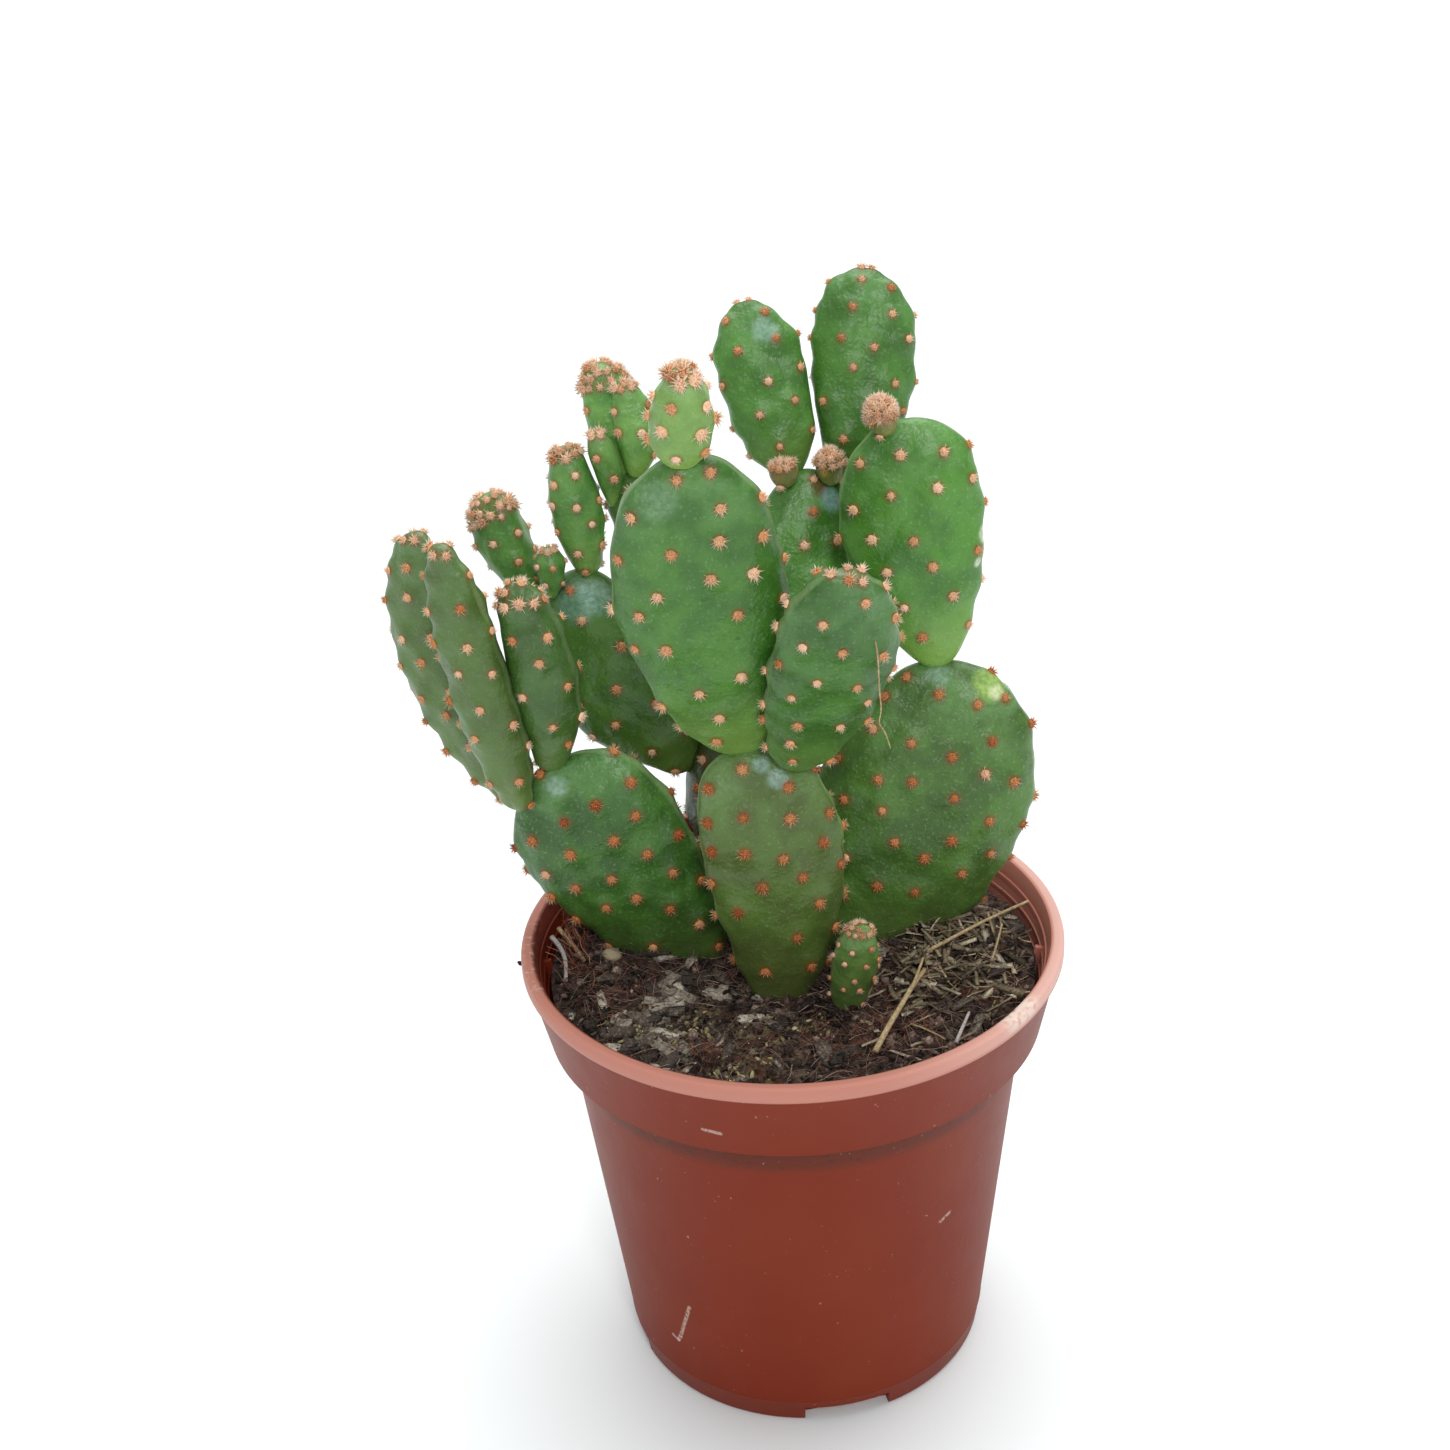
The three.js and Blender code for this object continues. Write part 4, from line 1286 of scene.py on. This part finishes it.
@dataclass
class Litter:
    """What lies on the soil: crumbs, moss, fibres, bark chips, straw, specks and a stone."""

    bed: SoilBed
    seed: int = 11
    reach: float = 24.3 * MM

    def build(self) -> None:
        """Model and dress every kind of litter."""
        draw = random.Random(self.seed)
        lumps = [self._lump(draw) for _ in range(8)]
        chips = [self._chip(draw) for _ in range(6)]
        threads = [self._thread(draw, 5 * MM, 0.045 * MM, 1.0) for _ in range(14)]
        blades = [self._thread(draw, 5 * MM, draw.uniform(0.08, 0.2) * MM, 0.35) for _ in range(12)]
        broad = [self._thread(draw, 5 * MM, draw.uniform(0.3, 0.5) * MM, 0.22) for _ in range(10)]
        kinds = (CRUMB, MOSS, FIBRE, BARK, STRAW, MATTED, SPECK, ROOT_HAIR)
        finishes = {finish.name: finish.paint() for finish in kinds}
        crumbs = [self._crumb(draw, lumps) for _ in range(2600)]
        fleck = np.array([-27.5, -2.3, 47.5]) * MM
        sizes = (1.1 * MM, 0.6 * MM, 0.5 * MM)
        crumbs.append(Print(lumps[0], fleck, self._tilted(draw, 0.4), sizes, 0.1))
        dress(print_all("soil_crumbs", crumbs), "soil_crumbs", finishes["crumb"], "soil")
        moss = [self._moss(draw, lumps) for _ in range(480)]
        dress(print_all("moss_crumbs", moss), "moss_crumbs", finishes["moss"], "soil")
        fibres = [self._laid(draw, threads, self._anywhere(draw), 0.7, 0.8) for _ in range(2600)]
        dress(print_all("peat_fibres", fibres), "peat_fibres", finishes["fibre"], "soil")
        bark = [self._bark(draw, chips) for _ in range(290)]
        dress(print_all("bark_chips", bark), "bark_chips", finishes["bark"], "bark")
        straw = [self._laid(draw, blades, self._mound(draw), 0.5, 0.8) for _ in range(90)]
        straw += [self._laid(draw, blades, self._anywhere(draw), 0.2, 0.6) for _ in range(60)]
        dress(print_all("straw_litter", straw), "straw_litter", finishes["straw"], "straw")
        mats = [self._laid(draw, broad, self._mound(draw), 0.4, 0.95) for _ in range(190)]
        dress(print_all("matted_straw", mats), "matted_straw", finishes["matted_straw"], "straw")
        hairs = [self._hair(draw, threads) for _ in range(70)]
        hairs += [self._fuzz(draw, threads) for _ in range(420)]
        dress(print_all("root_hairs", hairs), "root_hairs", finishes["root_hair"], "straw")
        specks = [self._speck(draw, lumps) for _ in range(90)]
        dress(print_all("white_specks", specks), "white_specks", finishes["speck"], "stone")
        self._stone(lumps)

    def _anywhere(self, draw: random.Random) -> tuple[float, float]:
        """Draw a place on the soil."""
        away, turn = self.reach * math.sqrt(draw.random()), draw.uniform(0, 2 * math.pi)
        return away * math.cos(turn), away * math.sin(turn)

    def _around(self, draw: random.Random, x: float, y: float, spread: float) -> tuple[float, float]:
        """Draw a place near a point, held inside the pot."""
        wide, deep = draw.gauss(x, spread), draw.gauss(y, spread)
        held = min(1.0, self.reach / max(math.hypot(wide, deep), 1e-6))
        return wide * held, deep * held

    def _mound(self, draw: random.Random) -> tuple[float, float]:
        """Draw a place on the straw mound at the right, or in the strip before it."""
        if draw.random() < 0.8:
            return self._around(draw, 15.5 * MM, -1 * MM, 3.8 * MM)
        return self._around(draw, 15 * MM, -9 * MM, 3.5 * MM)

    def _fuzz(self, draw: random.Random, threads: Sequence[Stamp]) -> Print:
        """Lay a short reddish root in one of the fuzzy clumps."""
        spots = ((-9.4, -14.5, 1.3), (-18.5, -4, 2.6), (4, -14, 3), (9, -12, 2.5))
        x, y, spread = draw.choice(spots)
        spot = self._around(draw, x * MM, y * MM, spread * MM)
        return self._laid(draw, threads, spot, 1.2, 0.5)

    def _lump(self, draw: random.Random) -> Stamp:
        """Model a crumb of soil, one across."""
        pick_none()
        bpy.ops.mesh.primitive_ico_sphere_add(subdivisions=1, radius=0.5, location=(0, 0, 0))
        lump = bpy.context.object
        points = read_points(lump)
        push = np.array([[draw.uniform(0.65, 1.25)] for _ in points])
        write_points(lump, points * push)
        return Stamp.taken_from(lump, 1.0)

    def _chip(self, draw: random.Random) -> Stamp:
        """Model a flat chip of bark, one long."""
        pick_none()
        bpy.ops.mesh.primitive_cube_add(size=1, location=(0, 0, 0), scale=(1, 0.42, 0.14))
        chip = bpy.context.object
        bpy.ops.object.mode_set(mode="EDIT")
        bpy.ops.mesh.subdivide(number_cuts=2)
        bpy.ops.object.mode_set(mode="OBJECT")
        points = read_points(chip)
        push = np.array([[draw.uniform(-1, 1) for _ in range(3)] for _ in points])
        points = points + push * np.array([0.12, 0.1, 0.04])
        points[:, 1] *= 1 - 1.3 * np.abs(points[:, 0]) * draw.random()
        points[:, 2] += 0.15 * points[:, 0] * draw.uniform(-1, 1)
        write_points(chip, points)
        return Stamp.taken_from(chip, 1.0)

    def _thread(self, draw: random.Random, length: float, radius: float, squash: float) -> Stamp:
        """Model a winding thread or a flat blade."""
        heading, x, y = 0.0, -length / 2, 0.0
        places = []
        for i in range(7):
            places.append((x, y, draw.uniform(-0.2, 0.2) * MM))
            heading += draw.uniform(-0.45, 0.45) * min(1.0, 0.12 * MM / radius)
            x += math.cos(heading) * length / 6
            y += math.sin(heading) * length / 6
        thread = model_strand(places, radius)
        thread.scale = (1, 1, squash)
        return Stamp.taken_from(thread, 1.0)

    def _rest(self, x: float, y: float, lift: float) -> np.ndarray:
        """Give a place on the crumbly top of the soil, lifted a little."""
        return np.array([x, y, self.bed.top(x, y) + lift])

    def _tilted(self, draw: random.Random, tilt: float) -> np.ndarray:
        """Give a turned frame that is tilted a little."""
        normal = UP + np.array([draw.uniform(-tilt, tilt), draw.uniform(-tilt, tilt), 0.0])
        return frame_of(normal / np.linalg.norm(normal), draw.uniform(0, 2 * math.pi))

    def _crumb(self, draw: random.Random, lumps: Sequence[Stamp]) -> Print:
        """Lay a crumb anywhere on the soil."""
        size = (0.3 + 1.1 * draw.random() ** 2.5) * MM
        at = self._rest(*self._anywhere(draw), size * draw.uniform(0.0, 0.3))
        scale = (size, size * draw.uniform(0.6, 1), size * draw.uniform(0.5, 0.9))
        return Print(draw.choice(lumps), at, self._tilted(draw, 1), scale, draw.random())

    def _moss(self, draw: random.Random, lumps: Sequence[Stamp]) -> Print:
        """Lay a mossy crumb in the front of the pot."""
        spots = ((-13, -12, 1.8), (-15.5, -9.5, 1.5), (-10.5, -10.5, 1.6), (-6.4, -18.5, 1.7), (1, -9, 3))
        x, y, spread = draw.choice(spots)
        size = (0.25 + 0.7 * draw.random() ** 2) * MM
        at = self._rest(*self._around(draw, x * MM, y * MM, spread * MM), size * 0.3)
        scale = (size * draw.uniform(1, 1.8), size * 0.7, size * 0.5)
        return Print(draw.choice(lumps), at, self._tilted(draw, 1), scale, draw.random())

    def _laid(
        self,
        draw: random.Random,
        stamps: Sequence[Stamp],
        at: tuple[float, float],
        tilt: float,
        size: float = 1.0,
    ) -> Print:
        """Lay a thread or a blade, held back from the pot's wall."""
        held = min(1.0, (self.reach - 1.5 * MM) / max(math.hypot(*at), 1e-6))
        long = size * draw.uniform(0.5, 1.15)
        place = self._rest(at[0] * held, at[1] * held, draw.uniform(0.1, 0.7) * MM)
        frame = self._tilted(draw, tilt)
        return Print(draw.choice(stamps), place, frame, (long, long, long), draw.random())

    def _bark(self, draw: random.Random, chips: Sequence[Stamp]) -> Print:
        """Lay a chip of bark, most of them at the left front."""
        spot, shade = self._anywhere(draw), draw.random() * 0.55
        if draw.random() < 0.5:
            spot, shade = self._around(draw, -13.5 * MM, -8.5 * MM, 5.5 * MM), draw.random() * 0.9
        size = (0.7 + 3.2 * draw.random() ** 2.6) * MM
        held = min(1.0, (self.reach - size / 2) / max(math.hypot(*spot), 1e-6))
        at = self._rest(spot[0] * held, spot[1] * held, 0.25 * MM)
        return Print(draw.choice(chips), at, self._tilted(draw, 0.35), (size,) * 3, shade)

    def _hair(self, draw: random.Random, threads: Sequence[Stamp]) -> Print:
        """Stand a root hair against the pot's wall at the left."""
        turn = math.radians(draw.gauss(166, 9))
        away = draw.uniform(21, 24) * MM
        x, y = away * math.cos(turn), away * math.sin(turn)
        out = np.array([-math.cos(turn), -math.sin(turn), draw.uniform(0.2, 1.2)])
        frame = frame_of(out / np.linalg.norm(out), math.pi / 2 + draw.uniform(-0.9, 0.9))
        long = draw.uniform(0.4, 0.85)
        at = self._rest(x, y, 1.3 * MM)
        return Print(draw.choice(threads), at, frame, (long, 1.4, 1.4), draw.random())

    def _speck(self, draw: random.Random, lumps: Sequence[Stamp]) -> Print:
        """Lay a pale speck."""
        size = (0.12 + 0.25 * draw.random() ** 3) * MM
        at = self._rest(*self._anywhere(draw), 0.4 * MM)
        return Print(draw.choice(lumps), at, self._tilted(draw, 1), (size,) * 3, draw.random())

    def _stone(self, lumps: Sequence[Stamp]) -> None:
        """Model the cream stone at the left."""
        pick_none()
        bpy.ops.mesh.primitive_ico_sphere_add(subdivisions=3, radius=0.9 * MM, location=(0, 0, 0))
        stone = bpy.context.object
        points = read_points(stone)
        swell = [1 + 0.28 * noise.noise(Vector(point) / (0.9 * MM)) for point in points]
        points = points * np.array(swell)[:, None] * np.array([1.15, 0.85, 0.75])
        x, y = -18.5 * MM, 1.2 * MM
        write_points(stone, points + self._rest(x, y, 0.35 * MM))
        bpy.ops.object.shade_smooth()
        dress(stone, "cream_stone", STONE.paint(), "stone")


@dataclass(frozen=True)
class Stalk:
    """A single straw or thread, by its line in millimetres, and the CAD node that it stands for."""

    name: str
    line: tuple[tuple[float, float, float], ...]
    radius: float
    finish: DryFibre
    slot: str
    node: str = ""


def model_strand(
    line: Sequence[Sequence[float]], radius: float, roundness: int = 0
) -> bpy.types.Object:
    """Model a strand along a smooth line.

    Args:
        line: The points that steer it, in metres.
        radius: Its radius, in metres, which tapers to the end.
        roundness: How many sides it has above four, in pairs.

    Returns:
        The strand as a closed mesh.
    """
    pick_none()
    curve = bpy.data.curves.new("strand", "CURVE")
    curve.dimensions = "3D"
    curve.bevel_depth = radius
    curve.bevel_resolution = roundness
    curve.resolution_u = 1 + roundness * 2
    curve.use_fill_caps = True
    spline = curve.splines.new("NURBS")
    spline.points.add(len(line) - 1)
    for number, (point, place) in enumerate(zip(spline.points, line)):
        point.co = (*place, 1)
        point.radius = 1 - 0.4 * number / len(line)
    spline.order_u = 3
    spline.use_endpoint_u = True
    strand = bpy.data.objects.new("strand", curve)
    bpy.context.scene.collection.objects.link(strand)
    strand.select_set(True)
    bpy.context.view_layer.objects.active = strand
    bpy.ops.object.convert(target="MESH")
    strand = bpy.context.object
    bpy.ops.object.mode_set(mode="EDIT")
    bpy.ops.mesh.select_all(action="SELECT")
    bpy.ops.mesh.remove_doubles(threshold=1e-7)
    bpy.ops.mesh.normals_make_consistent(inside=False)
    bpy.ops.object.mode_set(mode="OBJECT")
    return strand


def stalk_list() -> list[Stalk]:
    """List the single straws and the thread that hangs from a pad."""
    stout = ((7, -17.2, 44.9), (8.4, -14.5, 45.6), (10.3, -11.2, 46.3), (11.6, -8.6, 46.6), (13, -5.6, 46.2))
    pale = ((14.8, -16.6, 45.0), (15.8, -14.4, 45.5), (16.6, -12.2, 45.3))
    leaning = ((20.8, -1.0, 45.6), (20.5, -0.2, 47.2), (20.1, 0.5, 48.6))
    crossing = ((19.4, -5.0, 44.9), (20.6, -3.0, 47.0), (21.3, -1.4, 48.4))
    split = ((11.2, -9.6, 46.5), (12.2, -7.4, 47.2), (12.9, -5.2, 47.3))
    long = ((13.5, -3, 46.6), (17, -1.6, 47.6), (20.6, 0.2, 48.3), (24.4, 1.6, 49))
    left = ((-24, 4.4, 47.2), (-22.4, 2.6, 46), (-21, 0.6, 45))
    strip = ((-24.6, 2.6, 47.3), (-23.6, 1.4, 46.8), (-23, -0.6, 46), (-23.1, -2.6, 45.2))
    thread = (
        (8.1, -13.2, 86.3), (8.3, -14.0, 85.2), (8.3, -14.2, 81.9), (8.5, -14.3, 79.7),
        (8.1, -14.6, 78.6), (8.8, -14.5, 77.7), (9.2, -14.5, 76.0),
    )
    return [
        Stalk("stout_blade", stout, 0.32, STRAW, "straw", "stout_straw"),
        Stalk("pale_blade", pale, 0.2, GREY_STRAW, "grey_straw"),
        Stalk("leaning_blade", leaning, 0.14, STRAW, "straw"),
        Stalk("crossing_blade", crossing, 0.14, STRAW, "straw"),
        Stalk("split_blade", split, 0.16, STRAW, "straw"),
        Stalk("long_blade", long, 0.2, STRAW, "straw", "long_straw"),
        Stalk("left_blade", left, 0.25, STRAW, "straw", "left_straw"),
        Stalk("grey_blade", strip, 0.28, GREY_STRAW, "grey_straw", "grey_strip"),
        Stalk("hanging_thread", thread, 0.08, STRAW, "straw"),
    ]


def build_stalks() -> None:
    """Model and dress the single straws and the thread."""
    paints = {finish.name: finish.paint() for finish in (STRAW, GREY_STRAW)}
    for stalk in stalk_list():
        line = [Vector(point) * MM for point in stalk.line]
        shape = model_strand(line, stalk.radius * MM, 2)
        grain = shape.data.uv_layers.new(name="grain")
        grain.data.foreach_set("uv", np.full(len(shape.data.loops) * 2, 0.8))
        bpy.ops.object.shade_smooth()
        replaced = [stalk.node] if stalk.node else []
        dress(shape, stalk.name, paints[stalk.finish.name], stalk.slot, *replaced)


@dataclass
class NurseryPot:
    """The tapered pot, turned from its outline, with notches, drain holes and inner ribs."""

    segments: int = 180
    height: float = 48.5 * MM
    base_radius: float = 19 * MM
    notches: int = 4
    first_notch: float = 10
    drains: int = 8
    ribs: int = 4
    first_rib: float = 87
    outline: tuple[tuple[float, float], ...] = (
        (12, 0), (12.1, 0.3), (12.4, 1.8), (12.7, 2), (16.3, 2), (16.6, 1.8), (16.9, 0.3), (17, 0),
        (18.3, 0), (18.75, 0.15), (18.95, 0.5), (19.3, 2.75), (19.36, 2.83), (19.33, 2.95),
        (23.4, 38.3), (23.6, 38.9), (24.2, 39.25), (25.2, 39.3), (25.42, 39.5),
        (26.95, 46.5), (27.1, 46.75), (27.35, 46.9), (27.5, 47.15), (27.5, 47.9), (27.38, 48.3),
        (27.1, 48.5), (26.5, 48.5), (26.2, 48.35), (26.05, 48), (25.75, 46.6), (25.6, 46.5),
        (25.55, 46.1), (25.62, 46), (25.42, 45.1), (25.3, 45), (25.25, 44.6), (25.3, 44.5),
        (25.15, 43.6), (25.02, 43.5), (24.97, 43.1), (25.03, 43), (24.3, 40), (22.5, 38.6),
        (17.9, 4.3), (16.85, 3.3), (13, 3.3), (12, 1.3),
    )

    def build(self) -> None:
        """Model and dress the pot."""
        pot = self._turn()
        for i in range(self.notches):
            self._cut(pot, self._block(i))
        for i in range(self.drains):
            self._cut(pot, self._drain(i))
        pick_none()
        pot.select_set(True)
        bpy.context.view_layer.objects.active = pot
        bpy.ops.object.shade_smooth_by_angle(angle=math.radians(35))
        plastic = PotPlastic().paint()
        dress(pot, "nursery_pot", plastic, "pot_plastic", "pot")
        for i in range(self.ribs):
            dress(self._rib(i), f"stacking_rib_{i + 1}", plastic, "pot_plastic")

    def _rib(self, number: int) -> bpy.types.Object:
        """Model one rib that stands up the inside of the collar."""
        turn = math.radians(self.first_rib + number * 360 / self.ribs)
        pick_none()
        bpy.ops.mesh.primitive_cube_add(size=1, location=(0, 0, 0), scale=(0.6 * MM, 1.5 * MM, 6 * MM))
        rib = bpy.context.object
        place_in_mesh(rib)
        apply_modifier(rib, "BEVEL", width=0.15 * MM, segments=3)
        rib.rotation_euler = (math.radians(13), 0, turn)
        away = 24.8 * MM
        rib.location = (away * math.sin(turn), -away * math.cos(turn), 42.4 * MM)
        place_in_mesh(rib)
        bpy.ops.object.shade_smooth_by_angle(angle=math.radians(35))
        return rib

    def _turn(self) -> bpy.types.Object:
        """Draw a circle out along the outline, ring by ring."""
        pick_none()
        radius, height = self.outline[0]
        bpy.ops.mesh.primitive_circle_add(
            vertices=self.segments, radius=radius * MM, fill_type="NGON", location=(0, 0, 0)
        )
        pot = bpy.context.object
        bpy.ops.object.mode_set(mode="EDIT")
        bpy.ops.mesh.select_mode(type="EDGE")
        bpy.ops.mesh.select_all(action="DESELECT")
        bpy.ops.mesh.select_non_manifold()
        for wide, high in self.outline[1:]:
            bpy.ops.mesh.extrude_edges_move()
            bpy.ops.transform.translate(value=(0, 0, (high - height) * MM))
            share = wide / radius
            bpy.ops.transform.resize(value=(share, share, 1), center_override=(0, 0, high * MM))
            radius, height = wide, high
        bpy.ops.mesh.edge_face_add()
        bpy.ops.mesh.select_all(action="SELECT")
        bpy.ops.mesh.normals_make_consistent(inside=False)
        bpy.ops.object.mode_set(mode="OBJECT")
        return pot

    def _block(self, number: int) -> bpy.types.Object:
        """Make the block that cuts one notch in the foot."""
        turn = math.radians(self.first_notch + number * 360 / self.notches)
        bpy.ops.mesh.primitive_cube_add(
            size=1,
            location=(self.base_radius * math.sin(turn), -self.base_radius * math.cos(turn), 0),
            rotation=(0, 0, turn),
            scale=(9 * MM, 4 * MM, 3.8 * MM),
        )
        return bpy.context.object

    def _drain(self, number: int) -> bpy.types.Object:
        """Make the rod that cuts one drain hole in the floor."""
        turn = math.radians(self.first_notch + (number + 0.5) * 360 / self.drains)
        reach = 14.5 * MM
        bpy.ops.mesh.primitive_cylinder_add(
            vertices=24,
            radius=1.3 * MM,
            depth=5.2 * MM,
            location=(reach * math.sin(turn), -reach * math.cos(turn), 2 * MM),
        )
        return bpy.context.object

    def _cut(self, pot: bpy.types.Object, tool: bpy.types.Object) -> None:
        """Cut a tool's shape out of the pot."""
        apply_modifier(pot, "BOOLEAN", operation="DIFFERENCE", object=tool, solver="EXACT")
        bpy.data.objects.remove(tool)


@dataclass
class Studio:
    """The floor, the lights and the camera of the photograph's view."""

    lens: float = 53.38
    eye: tuple[float, float, float] = (-5.534, -185.448, 166.072)
    pitch: float = 63.085
    roll: float = -3.229

    def build(self) -> None:
        """Set up the floor, the lights and the camera."""
        self._floor()
        self._camera()
        self._light("front_light", (0.1, -0.8, 0.72), 0.26, 3.2)
        self._sun("top_light", (0.12, 0.32, 1.0), 2.3)
        world = bpy.data.worlds.new("studio")
        world.use_nodes = True
        world.node_tree.nodes["Background"].inputs["Color"].default_value = (1, 1, 1, 1)
        world.node_tree.nodes["Background"].inputs["Strength"].default_value = 0.5
        bpy.context.scene.world = world
        bpy.context.scene.view_settings.view_transform = "Standard"

    def _floor(self) -> None:
        """Lay a plain pale floor."""
        pick_none()
        bpy.ops.mesh.primitive_plane_add(size=12, location=(0, 0, 0))
        floor = bpy.context.object
        floor.name = "floor"
        g = Graph("floor")
        floor.data.materials.append(g.finish("#f6fcfd", 0.8, Specular_IOR_Level=0.1))

    def _camera(self) -> None:
        """Set the camera at the photograph's viewing angle."""
        data = bpy.data.cameras.new("camera")
        data.lens = self.lens
        data.clip_start = 0.01
        camera = bpy.data.objects.new("camera", data)
        bpy.context.scene.collection.objects.link(camera)
        tip = Matrix.Rotation(math.radians(self.pitch), 4, "X")
        roll = Matrix.Rotation(math.radians(self.roll), 4, "Z")
        camera.matrix_world = Matrix.Translation(Vector(self.eye) * MM) @ tip @ roll
        bpy.context.scene.camera = camera

    def _light(self, name: str, at: Sequence[float], size: float, power: float) -> None:
        """Hang a square soft light that faces the plant.

        Args:
            name: The light's name.
            at: Its place, in metres.
            size: The length of its side, in metres.
            power: Its power in watts.
        """
        data = bpy.data.lights.new(name, "AREA")
        data.size = size
        data.energy = power
        light = bpy.data.objects.new(name, data)
        bpy.context.scene.collection.objects.link(light)
        light.location = at
        aim = Vector((0, 0, 0.055)) - light.location
        light.rotation_euler = aim.to_track_quat("-Z", "Y").to_euler()

    def _sun(self, name: str, source: Sequence[float], strength: float) -> None:
        """Set a very soft light that reaches the whole floor.

        Args:
            name: The light's name.
            source: The way to it.
            strength: Its strength.
        """
        data = bpy.data.lights.new(name, "SUN")
        data.energy = strength
        data.angle = math.radians(60)
        light = bpy.data.objects.new(name, data)
        bpy.context.scene.collection.objects.link(light)
        light.rotation_euler = Vector(source).to_track_quat("Z", "Y").to_euler()


def main() -> None:
    """Load the frame and dress it, piece by piece."""
    logging.basicConfig(level=logging.INFO, format="%(message)s")
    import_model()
    pick_none()
    Studio().build()
    NurseryPot().build()
    soil = SoilBed()
    soil.build()
    plant = Plant()
    plant.grow()
    plant.build(soil)
    Litter(soil).build()
    build_stalks()


if __name__ == "__main__":
    main()
